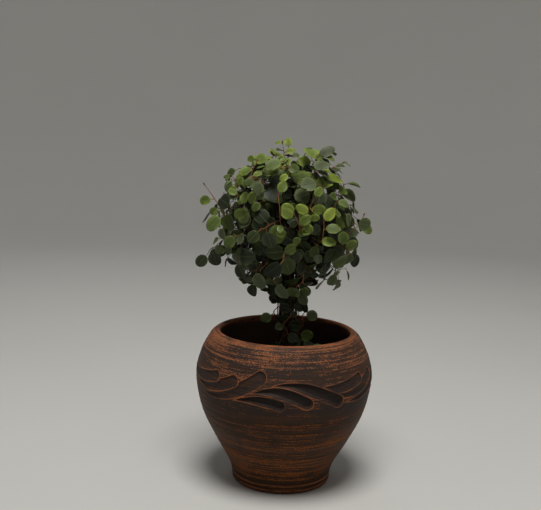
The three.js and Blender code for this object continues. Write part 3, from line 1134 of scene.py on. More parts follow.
@dataclass
class Wire:
    """A round wire along a row of points, all in millimetres."""

    path: Vec
    radii: Vec
    age: Vec


def wires(name: str, rows: list[Wire], roundness: int) -> Piece:
    """Round wires as one mesh, each point's age stored in the tone layer.

    Args:
        name: the piece's name.
        rows: the wires.
        roundness: 0 gives 4 sides, and each step 2 more.

    Returns:
        The piece.
    """
    curve = bpy.data.curves.new(name, "CURVE")
    curve.dimensions = "3D"
    curve.bevel_depth = MM
    curve.bevel_resolution = roundness
    for row in rows:
        line = curve.splines.new("POLY")
        line.points.add(len(row.path) - 1)
        places = np.column_stack([row.path * MM, np.ones(len(row.path))])
        line.points.foreach_set("co", places.ravel())
        line.points.foreach_set("radius", row.radii)
    activate(linked(name, curve))
    bpy.ops.object.convert(target="MESH")
    piece = bpy.context.object
    ages = np.concatenate([row.age for row in rows])
    tone = np.zeros((len(piece.data.vertices), 3))
    tone[:, 0] = np.repeat(ages, len(tone) // len(ages))
    tone[:, 1] = 0.5
    paint(piece, "tone", tone)
    piece.data.materials.clear()
    with editing(piece):
        bpy.ops.mesh.fill_holes(sides=0)
    return piece


# Finishes


class Slot(Enum):
    """Names of four material slots."""

    POT = "pot"
    SOIL = "soil"
    BARK = "bark"
    FOLIAGE = "foliage"


class Graph:
    """A shader tree while it is drawn."""

    def __init__(self, tree: Tree) -> None:
        """Takes a tree and empties it."""
        self.tree = tree
        tree.nodes.clear()

    def node(
        self, kind: str, inputs: dict[str | int, object] | None = None, **settings: object
    ) -> bpy.types.Node:
        """Adds a node.

        Args:
            kind: the node's type.
            inputs: a value or a socket for each of its inputs, by name or place.
            settings: the node's own settings.

        Returns:
            The node.
        """
        node = self.tree.nodes.new(kind)
        for key, value in settings.items():
            setattr(node, key, value)
        return self.feed(node, inputs or {})

    def feed(self, node: bpy.types.Node, inputs: dict[str | int, object]) -> bpy.types.Node:
        """Links each socket among a node's inputs, and sets each plain value.

        Args:
            node: the node.
            inputs: sockets or plain values, by the input's name or number.

        Returns:
            The node.
        """
        for key, value in inputs.items():
            if isinstance(value, Socket):
                self.tree.links.new(value, node.inputs[key])
            else:
                node.inputs[key].default_value = value
        return node

    def math(self, operation: str, *values: float | Socket) -> Socket:
        """A sum of one to three values."""
        return self.node("ShaderNodeMath", dict(enumerate(values)), operation=operation).outputs[0]

    def product(self, one: float | Socket, other: float | Socket) -> Socket:
        """Two values multiplied."""
        return self.math("MULTIPLY", one, other)

    def mix(self, mask: float | Socket, low: object, high: object) -> Socket:
        """A colour between two others, by a mask."""
        return self.node("ShaderNodeMix", {0: mask, 6: low, 7: high}, data_type="RGBA").outputs[2]

    def shade(self, colour: Socket, value: Socket) -> Socket:
        """A colour made darker or lighter by a value round 1."""
        grey = self.node("ShaderNodeCombineColor", {0: value, 1: value, 2: value}).outputs[0]
        inputs = {0: 1.0, 6: colour, 7: grey}
        return self.node("ShaderNodeMix", inputs, data_type="RGBA", blend_type="MULTIPLY").outputs[2]

    def ease(
        self, value: Socket, low: float, high: float, start: float = 0.0, end: float = 1.0
    ) -> Socket:
        """A value eased from start at the low edge to end at the high edge."""
        inputs = {0: value, 1: low, 2: high, 3: start, 4: end}
        return self.node("ShaderNodeMapRange", inputs, interpolation_type="SMOOTHSTEP").outputs[0]

    def noise(self, place: Socket, scale: float | Socket, detail: float, rough: float = 0.55) -> Socket:
        """Soft random patches of a scale."""
        inputs = {"Vector": place, "Scale": scale, "Detail": detail, "Roughness": rough}
        return self.node("ShaderNodeTexNoise", inputs).outputs[0]

    def place(self) -> Socket:
        """The point on the piece, in metres."""
        return self.node("ShaderNodeTexCoord").outputs["Object"]

    def layer(self, name: str) -> tuple[Socket, Socket, Socket]:
        """The three values of a stored colour layer."""
        colour = self.node("ShaderNodeVertexColor", layer_name=name).outputs[0]
        split = self.node("ShaderNodeSeparateColor", {0: colour})
        return split.outputs[0], split.outputs[1], split.outputs[2]

    def effect(self, group: Tree, inputs: dict[str, object]) -> bpy.types.Node:
        """Places a shared effect."""
        node = self.tree.nodes.new("ShaderNodeGroup")
        node.node_tree = group
        return self.feed(node, inputs)

    def surface(self, colour: Socket, roughness: Socket, normal: Socket, **constants: float) -> None:
        """Ends the tree in one surface.

        Args:
            colour: base colour.
            roughness: roughness.
            normal: the bumped normal.
            constants: other values of the shader, by name with underscores for spaces.
        """
        inputs = {"Base Color": colour, "Roughness": roughness, "Normal": normal}
        inputs |= {name.replace("_", " "): value for name, value in constants.items()}
        shader = self.node("ShaderNodeBsdfPrincipled", inputs)
        self.node("ShaderNodeOutputMaterial", {"Surface": shader.outputs[0]})

    def bump(self, height: Socket, distance: float, strength: float = 1.0) -> Socket:
        """A normal from a height, its full height given in millimetres."""
        inputs = {"Height": height, "Distance": distance * MM, "Strength": strength}
        return self.node("ShaderNodeBump", inputs).outputs[0]


def new_effect(name: str, inputs: dict[str, float]) -> tuple[Graph, dict[str, Socket]]:
    """A shared effect that takes the place on the piece and some values, and gives a mask and a height.

    Args:
        name: the effect's name.
        inputs: the first value of each input, by name.

    Returns:
        The effect's tree, and its inputs by name as its own nodes see them.
    """
    graph = Graph(bpy.data.node_groups.new(name, "ShaderNodeTree"))
    sockets = graph.tree.interface
    sockets.new_socket("Place", in_out="INPUT", socket_type="NodeSocketVector")
    for key, value in inputs.items():
        sockets.new_socket(key, in_out="INPUT", socket_type="NodeSocketFloat").default_value = value
    for key in ("Mask", "Height"):
        sockets.new_socket(key, in_out="OUTPUT", socket_type="NodeSocketFloat")
    entry = graph.node("NodeGroupInput")
    return graph, {socket.name: socket for socket in entry.outputs if socket.name}


class Effects:
    """Shader effects that several finishes share."""

    def __init__(self) -> None:
        """Builds each effect once."""
        self.mottle = self.build_mottle()
        self.streaks = self.build_streaks()

    def build_mottle(self) -> Tree:
        """Patches of two sizes: a mask for colour and a fine height for grain.

        Returns:
            The effect's tree.
        """
        graph, entry = new_effect("mottle", {"Patch": 60.0, "Grain": 900.0})
        mask = graph.noise(entry["Place"], entry["Patch"], 4.0, 0.5)
        height = graph.noise(entry["Place"], entry["Grain"], 2.0, 0.5)
        graph.node("NodeGroupOutput", {"Mask": mask, "Height": height})
        return graph.tree

    def build_streaks(self) -> Tree:
        """Level streaks as a turned pot has them: noise drawn out round the upright axis.

        Returns:
            The effect's tree.
        """
        graph, entry = new_effect("streaks", {"Along": 9.0, "Across": 420.0})
        scales = {0: entry["Along"], 1: entry["Along"], 2: entry["Across"]}
        scale = graph.node("ShaderNodeCombineXYZ", scales).outputs[0]
        inputs = {0: entry["Place"], 1: scale}
        drawn = graph.node("ShaderNodeVectorMath", inputs, operation="MULTIPLY").outputs[0]
        mask, height = graph.noise(drawn, 1.0, 5.0, 0.62), graph.noise(drawn, 0.45, 2.0, 0.62)
        graph.node("NodeGroupOutput", {"Mask": mask, "Height": height})
        return graph.tree


def new_material(name: str) -> tuple[Material, Graph]:
    """An empty material and its tree."""
    material = bpy.data.materials.new(name)
    material.use_nodes = True
    return material, Graph(material.node_tree)


@dataclass(frozen=True)
class SmokedClay:
    """Fired clay under a dark smoke wash that is rubbed through in level streaks and on all edges."""

    smoke: Colour = srgb(52, 42, 38)
    low_smoke: Colour = srgb(46, 30, 17)
    warm_smoke: Colour = srgb(72, 48, 34)
    clay: Colour = srgb(126, 76, 46)
    bright_clay: Colour = srgb(168, 108, 74)
    low_clay: Colour = srgb(108, 61, 28)
    foot_clay: Colour = srgb(138, 77, 30)
    edge_clay: Colour = srgb(156, 92, 54)
    # The painted shade on the floors of the deep lobes.
    deep_lobe_shade: Colour = srgb(40, 33, 31)
    inside: Colour = srgb(86, 66, 54)
    reach: float = 8.0
    shoulder: Pair = (0.127, 0.141)
    lower: Pair = (0.085, 0.045)
    above_foot: Pair = (0.012, 0.024)
    low_smoke_at: Pair = (0.108, 0.074)
    low_clay_at: Pair = (0.112, 0.088)

    def build(self, effects: Effects) -> Material:
        """Draws the finish.

        Args:
            effects: the shared effects.

        Returns:
            The material.
        """
        material, graph = new_material("smoked_clay")
        place = graph.place()
        distance, worn, place_code = graph.layer("relief")
        inner, deep = graph.ease(place_code, 0.7, 0.95), graph.ease(place_code, 0.05, 0.45)
        height = graph.node("ShaderNodeSeparateXYZ", {0: place}).outputs[2]
        lines = graph.effect(effects.streaks, {"Place": place, "Along": 12.0, "Across": 1000.0}).outputs
        dashes = graph.effect(effects.streaks, {"Place": place, "Along": 80.0, "Across": 680.0}).outputs
        broad = graph.effect(effects.streaks, {"Place": place, "Along": 6.0, "Across": 150.0}).outputs
        grain = graph.effect(effects.mottle, {"Place": place, "Patch": 45.0, "Grain": 1500.0}).outputs
        speck = graph.noise(place, 900.0, 2.0)

        shoulder = graph.ease(height, *self.shoulder)
        low = graph.product(graph.ease(height, *self.lower), graph.ease(height, *self.above_foot))
        rubbed = graph.math("MULTIPLY_ADD", shoulder, 0.1, -0.09)
        rubbed = graph.math("MULTIPLY_ADD", low, 0.09, rubbed)
        for value, share in ((lines["Mask"], 1.15), (dashes["Mask"], 0.5), (broad["Mask"], 0.85),
                             (grain["Mask"], 0.4), (speck, 0.5)):
            rubbed = graph.math("ADD", rubbed, graph.math("MULTIPLY_ADD", value, share, -share / 2))
        through = graph.ease(rubbed, -0.03, 0.15)

        away = graph.math("MULTIPLY_ADD", distance, self.reach, -self.reach / 2)
        floor = graph.ease(away, 0.1, -0.8)
        ragged = graph.math("MULTIPLY_ADD", speck, 0.5, -0.25)
        edge_far = graph.math("ABSOLUTE", graph.math("SUBTRACT", graph.math("ADD", away, ragged), 0.1))
        patchy = graph.ease(grain["Mask"], 0.4, 0.58, 0.25, 0.95)
        edge = graph.product(graph.ease(edge_far, 0.48, 0.1), patchy)
        edge = graph.product(edge, graph.ease(broad["Mask"], 0.3, 0.6, 0.5, 1.0))
        beside = graph.product(graph.ease(away, 1.8, 0.5), graph.ease(dashes["Mask"], 0.52, 0.64))
        through = graph.math("MAXIMUM", through, graph.product(beside, 0.5))
        sunk = graph.product(floor, graph.ease(deep, 0.0, 1.0, 0.55, 0.95))
        through = graph.product(through, graph.math("SUBTRACT", 1.0, sunk))

        smoke = graph.mix(graph.ease(height, *self.low_smoke_at), self.smoke, self.low_smoke)
        smoke = graph.mix(graph.ease(broad["Height"], 0.45, 0.68, 0.0, 0.8), smoke, self.warm_smoke)
        below = graph.ease(height, *self.low_clay_at)
        bright = graph.mix(below, self.bright_clay, self.foot_clay)
        clay = graph.mix(below, self.clay, self.low_clay)
        clay = graph.mix(graph.ease(speck, 0.4, 0.65), clay, bright)
        colour = graph.mix(graph.product(through, 0.82), smoke, clay)
        # Painted shade: the floors of the deep lobes are darker.
        colour = graph.mix(sunk, colour, self.deep_lobe_shade)
        both = graph.math("ADD", dashes["Mask"], lines["Mask"])
        rub = graph.product(worn, graph.ease(both, 0.75, 1.1))
        bare = graph.math("MAXIMUM", edge, graph.product(rub, 0.8))
        colour = graph.mix(bare, colour, self.edge_clay)
        colour = graph.mix(inner, colour, self.inside)
        roughness = graph.ease(through, 0.0, 1.0, 0.6, 0.82)
        relief = graph.product(grain["Height"], 0.25)
        relief = graph.math("MULTIPLY_ADD", lines["Height"], 0.6, relief)
        relief = graph.math("MULTIPLY_ADD", through, 0.12, relief)
        graph.surface(colour, roughness, graph.bump(relief, 0.6), Specular_IOR_Level=0.14)
        return material


@dataclass(frozen=True)
class PottingSoil:
    """Dark damp potting soil."""

    dark: Colour = srgb(20, 15, 12)
    light: Colour = srgb(52, 39, 30)

    def build(self, effects: Effects) -> Material:
        """Draws the finish.

        Args:
            effects: the shared effects.

        Returns:
            The material.
        """
        material, graph = new_material("potting_soil")
        place = graph.place()
        grain = graph.effect(effects.mottle, {"Place": place, "Patch": 160.0, "Grain": 1100.0}).outputs
        crumbs = graph.ease(graph.noise(place, 420.0, 4.0), 0.42, 0.72)
        colour = graph.mix(graph.product(crumbs, grain["Mask"]), self.dark, self.light)
        roughness = graph.ease(grain["Mask"], 0.3, 0.7, 0.75, 0.98)
        height = graph.math("ADD", crumbs, graph.product(grain["Height"], 0.5))
        graph.surface(colour, roughness, graph.bump(height, 0.9), Specular_IOR_Level=0.25)
        return material


@dataclass(frozen=True)
class WiryBark:
    """Bark of the stems: orange brown when young, near black when old."""

    young: Colour = srgb(140, 90, 58)
    grown: Colour = srgb(74, 47, 35)
    old: Colour = srgb(40, 27, 23)
    ridge: Colour = srgb(92, 62, 48)

    def build(self, effects: Effects) -> Material:
        """Draws the finish.

        Args:
            effects: the shared effects.

        Returns:
            The material.
        """
        material, graph = new_material("wiry_bark")
        place = graph.place()
        age, _, _ = graph.layer("tone")
        grain = graph.effect(effects.mottle, {"Place": place, "Patch": 240.0, "Grain": 1400.0}).outputs
        colour = graph.mix(graph.ease(age, 0.0, 0.45), self.young, self.grown)
        colour = graph.mix(graph.ease(age, 0.4, 0.9), colour, self.old)
        flecks = graph.ease(grain["Height"], 0.55, 0.75)
        flecks = graph.product(flecks, graph.ease(age, 0.3, 0.9, 0.1, 0.55))
        colour = graph.mix(flecks, colour, self.ridge)
        colour = graph.shade(colour, graph.ease(grain["Mask"], 0.2, 0.8, 0.7, 1.25))
        roughness = graph.ease(age, 0.0, 1.0, 0.5, 0.78)
        graph.surface(colour, roughness, graph.bump(grain["Height"], 0.25), Specular_IOR_Level=0.2)
        return material


@dataclass(frozen=True)
class VineLeaf:
    """A small leathery leaf: grey green when ripe, yellow green when young, paler beneath."""

    ripe_dark: Colour = srgb(18, 25, 14)
    ripe_light: Colour = srgb(94, 114, 54)
    dusty_light: Colour = srgb(96, 106, 74)
    young_dark: Colour = srgb(98, 120, 38)
    young_light: Colour = srgb(152, 166, 66)
    beneath: Colour = srgb(86, 98, 62)
    vein: Colour = srgb(124, 134, 86)

    def build(self, effects: Effects) -> Material:
        """Draws the finish.

        Args:
            effects: the shared effects.

        Returns:
            The material.
        """
        material, graph = new_material("vine_leaf")
        place = graph.place()
        shade, youth, under = graph.layer("tone")
        blade = graph.node("ShaderNodeUVMap", uv_map="UVMap").outputs[0]
        split = graph.node("ShaderNodeSeparateXYZ", {0: blade}).outputs
        grain = graph.effect(effects.mottle, {"Place": place, "Patch": 170.0, "Grain": 1800.0}).outputs

        off_rib = graph.math("ABSOLUTE", graph.math("SUBTRACT", split[1], 0.5))
        midrib = graph.ease(off_rib, 0.045, 0.012)
        run = graph.math("MULTIPLY_ADD", off_rib, -0.85, split[0])
        rows = graph.math("PINGPONG", graph.product(run, 5.5), 0.5)
        side_veins = graph.product(graph.ease(rows, 0.06, 0.0), graph.ease(off_rib, 0.47, 0.2))
        rim = graph.ease(off_rib, 0.44, 0.5)
        off_middle = graph.math("ABSOLUTE", graph.math("SUBTRACT", split[0], 0.5))
        margin = graph.ease(graph.math("MAXIMUM", off_rib, off_middle), 0.12, 0.5)

        ripe_light = graph.mix(graph.ease(youth, 0.02, 0.14), self.dusty_light, self.ripe_light)
        # The tone layer's shade is random tone with painted shade and light in it.
        ripe = graph.mix(shade, self.ripe_dark, ripe_light)
        young = graph.mix(shade, self.young_dark, self.young_light)
        colour = graph.mix(youth, ripe, young)
        colour = graph.mix(graph.product(under, 0.35), colour, self.beneath)
        lines = graph.math("MAXIMUM", graph.product(midrib, 0.24), graph.product(side_veins, 0.14))
        lines = graph.math("MAXIMUM", lines, graph.product(rim, 0.3))
        colour = graph.mix(lines, colour, self.vein)
        colour = graph.shade(colour, graph.ease(grain["Mask"], 0.2, 0.8, 0.84, 1.16))
        # Painted shade in the middle of the blade and painted light toward its margin.
        colour = graph.shade(colour, graph.ease(margin, 0.0, 1.0, 0.78, 1.16))
        roughness = graph.ease(grain["Mask"], 0.3, 0.75, 0.42, 0.58)
        relief = graph.math("MAXIMUM", midrib, graph.product(side_veins, 0.5))
        height = graph.math("MULTIPLY_ADD", grain["Height"], 0.25, graph.product(relief, -1.0))
        graph.surface(colour, roughness, graph.bump(height, 0.25), Specular_IOR_Level=0.2)
        return material


@dataclass
class Finishes:
    """All finishes of the plant and its pot, built once."""

    clay: Material = field(init=False)
    soil: Material = field(init=False)
    bark: Material = field(init=False)
    leaf: Material = field(init=False)

    def __post_init__(self) -> None:
        """Builds the shared effects, then each finish."""
        effects = Effects()
        self.clay = SmokedClay().build(effects)
        self.soil = PottingSoil().build(effects)
        self.bark = WiryBark().build(effects)
        self.leaf = VineLeaf().build(effects)


# Pot


@dataclass(frozen=True)
class Lobe:
    """One carved teardrop: its spine in degrees round the pot and millimetres up, its width and depth."""

    tail: Pair
    bend: Pair
    tip: Pair
    width: float
    depth: float


@dataclass
class Pot:
    """The turned and carved pot, in millimetres."""

    foot: tuple[Pair, ...] = (
        (0, 0), (47.2, 0), (48.5, 0.8), (49.3, 2.2), (49.5, 3.6), (48.8, 4.8), (48.6, 5.8), (49.5, 7.0),
        (50.0, 8.4), (49.6, 9.9), (49.5, 11.0),
    )
    flank: tuple[Pair, ...] = (
        (49.9, 9.2), (54.0, 21.4), (67.7, 45.9), (79.3, 68.9), (85.8, 91.9), (87.7, 113.3),
        (82.4, 133.2), (74.7, 147.8),
    )
    lip: tuple[Pair, ...] = (
        (72.9, 149.9), (70.8, 151.5), (69.0, 152.6), (67.3, 153.1), (65.9, 152.8), (64.9, 151.7),
        (64.7, 150.2), (65.1, 148.4),
    )
    inside: tuple[Pair, ...] = (
        (66.4, 146.5), (76.3, 129.5), (80.7, 110), (76.3, 81), (60.9, 45.5), (42.8, 9),
    )
    foot_end: float = 12.4
    row: float = 2.3
    columns: int = 240
    band: Pair = (94.0, 133.5)
    band_cuts: int = 3
    belly: float = 87.7
    motifs: tuple[float, ...] = (0, 102, 229.5)
    lobes: tuple[Lobe, ...] = (
        Lobe((-33, 102), (-17, 109.5), (0.5, 100), 10, 3.0),
        Lobe((-21, 111), (-4, 121.5), (18, 100), 11.8, 3.0),
        Lobe((-9, 118.5), (8, 126.5), (39.5, 99.5), 11.8, 2.8),
        Lobe((-86, 119), (-67, 111.5), (-44.5, 122), 10.5, 1.1),
        Lobe((-72, 111), (-54, 103), (-29.5, 123), 11.5, 1.3),
        Lobe((-62, 101), (-36, 100), (-12, 130.5), 13, 1.4),
    )
    spine_steps: int = 48
    full_from: float = 0.8
    taper: float = 1.1
    wall: float = 0.45
    scoop: Pair = (4.6, 1.1)
    far_away: float = 99.0
    reach_beside: float = 9.0
    flank_steps: int = 400
    inside_steps: int = 26
    ridge_at: float = 0.15
    ridge_width: float = 0.55
    ridge_height: float = 0.35
    wheel_rings: float = 0.16
    ring_waves: Point = (0.006, 0.006, 0.42)
    unevenness: float = 0.3
    uneven_waves: Point = (0.02, 0.02, 0.03)
    smooth_below: float = 40
    worn_ridges: Pair = (3.2, 8.3)
    worn_width: float = 0.9
    worn_lip_from: Pair = (149.0, 152.4)
    worn_lip_share: float = 0.6
    wall_slack: float = 2.5
    floor_top: float = 5
    middle: float = 40
    skin_from: float = 0.5
    deep: Pair = (1.2, 2.4)

    def profile(self) -> Vec:
        """The whole profile, from the middle of the foot round the lip to the middle of the floor.

        Returns:
            Radius and height of each point.
        """
        fine = spline(self.flank, self.flank_steps)
        fine = fine[fine[:, 1] > self.foot_end]
        steps = np.append(0, np.cumsum(np.sqrt((np.diff(fine, axis=0) ** 2).sum(1))))
        places = np.linspace(0, steps[-1], round(steps[-1] / self.row) + 1)
        flank = np.column_stack([np.interp(places, steps, fine[:, axis]) for axis in (0, 1)])
        inside = spline(self.inside, self.inside_steps)
        return np.vstack([self.foot, flank, self.lip, inside, [(0, self.inside[-1][1])]])

    def build(self) -> Piece:
        """Turns the pot, cuts the band finer, then carves it.

        Returns:
            The finished mesh, with edges, hollows and inside in the relief layer.
        """
        piece = turned("carved_pot", self.profile(), self.columns)
        low, high = self.band
        with editing(piece, "FACE"):
            bpy.ops.mesh.select_all(action="DESELECT")
            bpy.ops.object.mode_set(mode="OBJECT")
            for face in piece.data.polygons:
                outward = face.normal.x * face.center.x + face.normal.y * face.center.y
                face.select = low * MM < face.center.z < high * MM and outward > 0
            bpy.ops.object.mode_set(mode="EDIT")
            bpy.ops.mesh.subdivide(number_cuts=self.band_cuts)
        self.carve(piece)
        smooth(piece, self.smooth_below)
        return piece

    def carve(self, piece: Piece) -> None:
        """Sinks the lobes, raises their edges and gives the skin the faint rings of the wheel.

        Args:
            piece: the turned pot.
        """
        points = points_of(piece)
        radius = np.hypot(points[:, 0], points[:, 1])
        inner = self.is_inner(radius, points[:, 2])
        outer = ~inner & (points[:, 2] > self.skin_from)
        degrees = np.degrees(np.arctan2(points[:, 1], points[:, 0])) + 90
        low, high = self.band
        near = np.flatnonzero(outer & (points[:, 2] > low - 1) & (points[:, 2] < high + 1))
        edge_away, sink = self.lobe_field(degrees[near], points[near, 2])
        ridge = np.exp(-(((edge_away - self.ridge_at) / self.ridge_width) ** 2))
        change = np.zeros(len(points))
        change[near] = ridge * self.ridge_height - sink
        for index in np.flatnonzero(outer):
            ring = noise.noise(Vector(points[index] * self.ring_waves))
            swell = noise.noise(Vector(points[index] * self.uneven_waves))
            change[index] += self.wheel_rings * ring + self.unevenness * swell
        scale = (radius + change) / np.maximum(radius, 1e-6)
        points[:, 0] *= scale
        points[:, 1] *= scale
        move_points(piece, points)
        relief = np.ones((len(points), 3))
        relief[near, 0] = np.clip(edge_away / SmokedClay.reach + 0.5, 0, 1)
        relief[:, 1] = self.worn_lip(radius, points[:, 2], inner)
        relief[:, 2] = 0
        relief[near, 2] = 0.5 * smoothstep(*self.deep, sink)
        relief[inner, 2] = 1
        paint(piece, "relief", relief)

    def is_inner(self, radius: Vec, height: Vec) -> Vec:
        """Tells which points lie on the inside, by their radius at their height.

        Args:
            radius: radius of each point.
            height: height of each point.

        Returns:
            Whether each lies inside.
        """
        wall = np.array(self.inside[::-1])
        at_wall = np.abs(radius - np.interp(height, wall[:, 1], wall[:, 0])) < self.wall_slack
        below_lip = height < self.inside[0][1] + 1
        return (at_wall & below_lip | (radius < self.middle)) & (height > self.floor_top)

    def worn_lip(self, radius: Vec, height: Vec, inner: Vec) -> Vec:
        """How far the smoke is rubbed off on the lip and on the foot's two ridges.

        Args:
            radius: radius of each point.
            height: height of each point.
            inner: which of them lie inside.

        Returns:
            0 for none and 1 for all, at each point.
        """
        lip = self.worn_lip_share * smoothstep(*self.worn_lip_from, height)
        ridges = sum(np.exp(-(((height - at) / self.worn_width) ** 2)) for at in self.worn_ridges)
        return np.where(inner, 0, lip + np.where(radius > self.middle, ridges, 0))

    def lobe_field(self, degrees: Vec, height: Vec) -> tuple[Vec, Vec]:
        """How far points lie outside the nearest lobe's edge, and how deep they sink.

        Where two lobes meet, the later one stops a thin wall short of the earlier one.

        Args:
            degrees: bearing of each point from the front.
            height: height of each point.

        Returns:
            The distance, below 0 within a lobe, and the depth, both in millimetres.
        """
        away = np.full(len(degrees), self.far_away)
        depth, scoop = np.zeros(len(degrees)), np.ones(len(degrees))
        for lobe in self.lobes:
            for start in self.motifs:
                turned_to = (degrees - start + 180) % 360 - 180
                for shift in (-360, 0, 360):
                    close, far, lean = self.from_lobe(lobe, turned_to + shift, height)
                    cut = np.maximum(far, self.wall - away[close])
                    own = cut < away[close]
                    away[close] = np.minimum(away[close], cut)
                    depth[close[own]] = (lobe.depth * (0.8 + 0.2 * lean))[own]
                    scoop[close[own]] = lerp(self.scoop, (lean[own] + 1) / 2)
        return away, depth * smoothstep(0, 1, -away / scoop)

    def from_lobe(self, lobe: Lobe, degrees: Vec, height: Vec) -> tuple[Vec, Vec, Vec]:
        """Where points lie beside one lobe.

        Args:
            lobe: the lobe.
            degrees: bearing of each point from the lobe's own front.
            height: height of each point.

        Returns:
            The places in the row of the points near it, their distance outside its edge, and their lean:
            1 by its upper edge and -1 by its lower one.
        """
        arc = TURN * self.belly / 360
        margin = self.reach_beside
        share = np.linspace(0, 1, self.spine_steps)
        half = np.sin(np.pi / 2 * np.minimum(share / self.full_from, 1)) ** self.taper
        ends = [np.array(end) * (arc, 1) for end in (lobe.tail, lobe.bend, lobe.tip)]
        t = share * (1 - lobe.width / 2 / float(np.hypot(*(ends[2] - ends[0]))))
        weights = ((1 - t) ** 2, 2 * t * (1 - t), t**2)
        spine = sum(np.outer(weight, end) for weight, end in zip(weights, ends))
        low, high = spine.min(0) - margin, spine.max(0) + margin
        along_arc = degrees * arc
        close = np.flatnonzero(
            (along_arc > low[0]) & (along_arc < high[0]) & (height > low[1]) & (height < high[1])
        )
        if len(close) == 0:
            return close, np.empty(0), np.empty(0)
        gap_x = along_arc[close, None] - spine[None, :, 0]
        gap_z = height[close, None] - spine[None, :, 1]
        far = np.sqrt(gap_x**2 + gap_z**2) - lobe.width / 2 * half
        best = far.argmin(1)
        rows = np.arange(len(close))
        return close, far[rows, best], np.clip(gap_z[rows, best] / (lobe.width / 2), -1, 1)

    def dress(self, piece: Piece, finishes: Finishes) -> None:
        """Gives the pot its finish and its place in the frame.

        Args:
            piece: the pot.
            finishes: the finishes.
        """
        piece.data.materials.append(finishes.clay)
        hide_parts("pot")
        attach(piece, "root")


# Soil


@dataclass
class Soil:
    """The crumbly soil that fills the pot, in millimetres."""

    floor: float = 9.4
    wall: float = 118
    crown: float = 121
    wall_gap: float = 0.6
    columns: int = 150
    rings: int = 34
    crumbs: int = 260
    crumb_size: Pair = (0.6, 1.9)
    strewn_within: float = 74
    brim: float = 78
    rim_fade: float = 6
    lumps: float = 1.1
    broad_waves: float = 0.12
    fine_waves: float = 0.4
    fine_share: float = 0.6
    flatness: float = 0.7
    stretch: float = 0.3
    proud: float = 0.2
    dents: float = 0.35
    dent_waves: float = 1.3
    smooth_below: float = 50

    def profile(self, pot: Pot) -> Vec:
        """The profile: up the pot's wall, then over the top to the middle.

        Args:
            pot: the pot that it fills.

        Returns:
            Radius and height of each point.
        """
        wall = spline(pot.inside, pot.inside_steps)[::-1]
        wall = wall[(wall[:, 1] > self.floor + 0.5) & (wall[:, 1] < self.wall - 2)]
        side = [(wall[0][0] - 1.2, self.floor), *[(r - self.wall_gap, z) for r, z in wall]]
        radii, heights = np.array(pot.inside[::-1]).T
        edge = float(np.interp(self.wall, heights, radii))
        top = [
            ((edge - self.wall_gap) * (1 - i / self.rings), lerp((self.wall, self.crown), i / self.rings))
            for i in range(self.rings + 1)
        ]
        return np.array([(0, self.floor), *side, *top])

    def build(self, pot: Pot) -> Piece:
        """Turns the soil, roughens its top and strews crumbs over it.

        Args:
            pot: the pot that it fills.

        Returns:
            The piece.
        """
        piece = turned("crumbly_soil", self.profile(pot), self.columns)
        points = points_of(piece)
        for index in np.flatnonzero(points[:, 2] > self.wall - 0.3):
            x, y, z = points[index]
            rim = min(1.0, (self.brim - math.hypot(x, y)) / self.rim_fade)
            broad = noise.noise(Vector((x * self.broad_waves, y * self.broad_waves, 0)))
            fine = noise.noise(Vector((x * self.fine_waves, y * self.fine_waves, 9)))
            points[index, 2] = z + self.lumps * rim * (broad + self.fine_share * fine)
        move_points(piece, points)
        smooth(piece, self.smooth_below)
        return join("crumbly_soil", [piece, *self.strewn()])

    def strewn(self) -> list[Piece]:
        """Crumbs of soil, one modelled and the rest copied, each of its own shape.

        Returns:
            The crumbs.
        """
        bpy.ops.object.select_all(action="DESELECT")
        bpy.ops.mesh.primitive_ico_sphere_add(subdivisions=1, radius=MM)
        model = bpy.context.object
        ball = points_of(model)
        draws = Draws(SEEDS.crumbs)
        crumbs = []
        for _ in range(self.crumbs):
            crumb = copy_of(model)
            away, bearing = self.strewn_within * math.sqrt(draws.next()), TURN * draws.next()
            size = lerp(self.crumb_size, draws.next() ** 2)
            stretch = vec(1, 1, self.flatness) + draws.vector(self.stretch)
            height = lerp((self.crown, self.wall), away / self.brim) + self.proud
            middle = vec(away * math.cos(bearing), away * math.sin(bearing), height)
            dents = [noise.noise(Vector(p * self.dent_waves) + Vector(middle)) for p in ball]
            dented = ball * (1 + self.dents * np.array(dents))[:, None]
            move_points(crumb, dented * stretch * size + middle)
            crumbs.append(crumb)
        bpy.data.objects.remove(model)
        return crumbs

    def dress(self, piece: Piece, finishes: Finishes) -> None:
        """Gives the soil its finish and its place in the frame.

        Args:
            piece: the soil.
            finishes: the finishes.
        """
        piece.data.materials.append(finishes.soil)
        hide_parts("soil")
        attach(piece, "root")


# Trunk and foliage


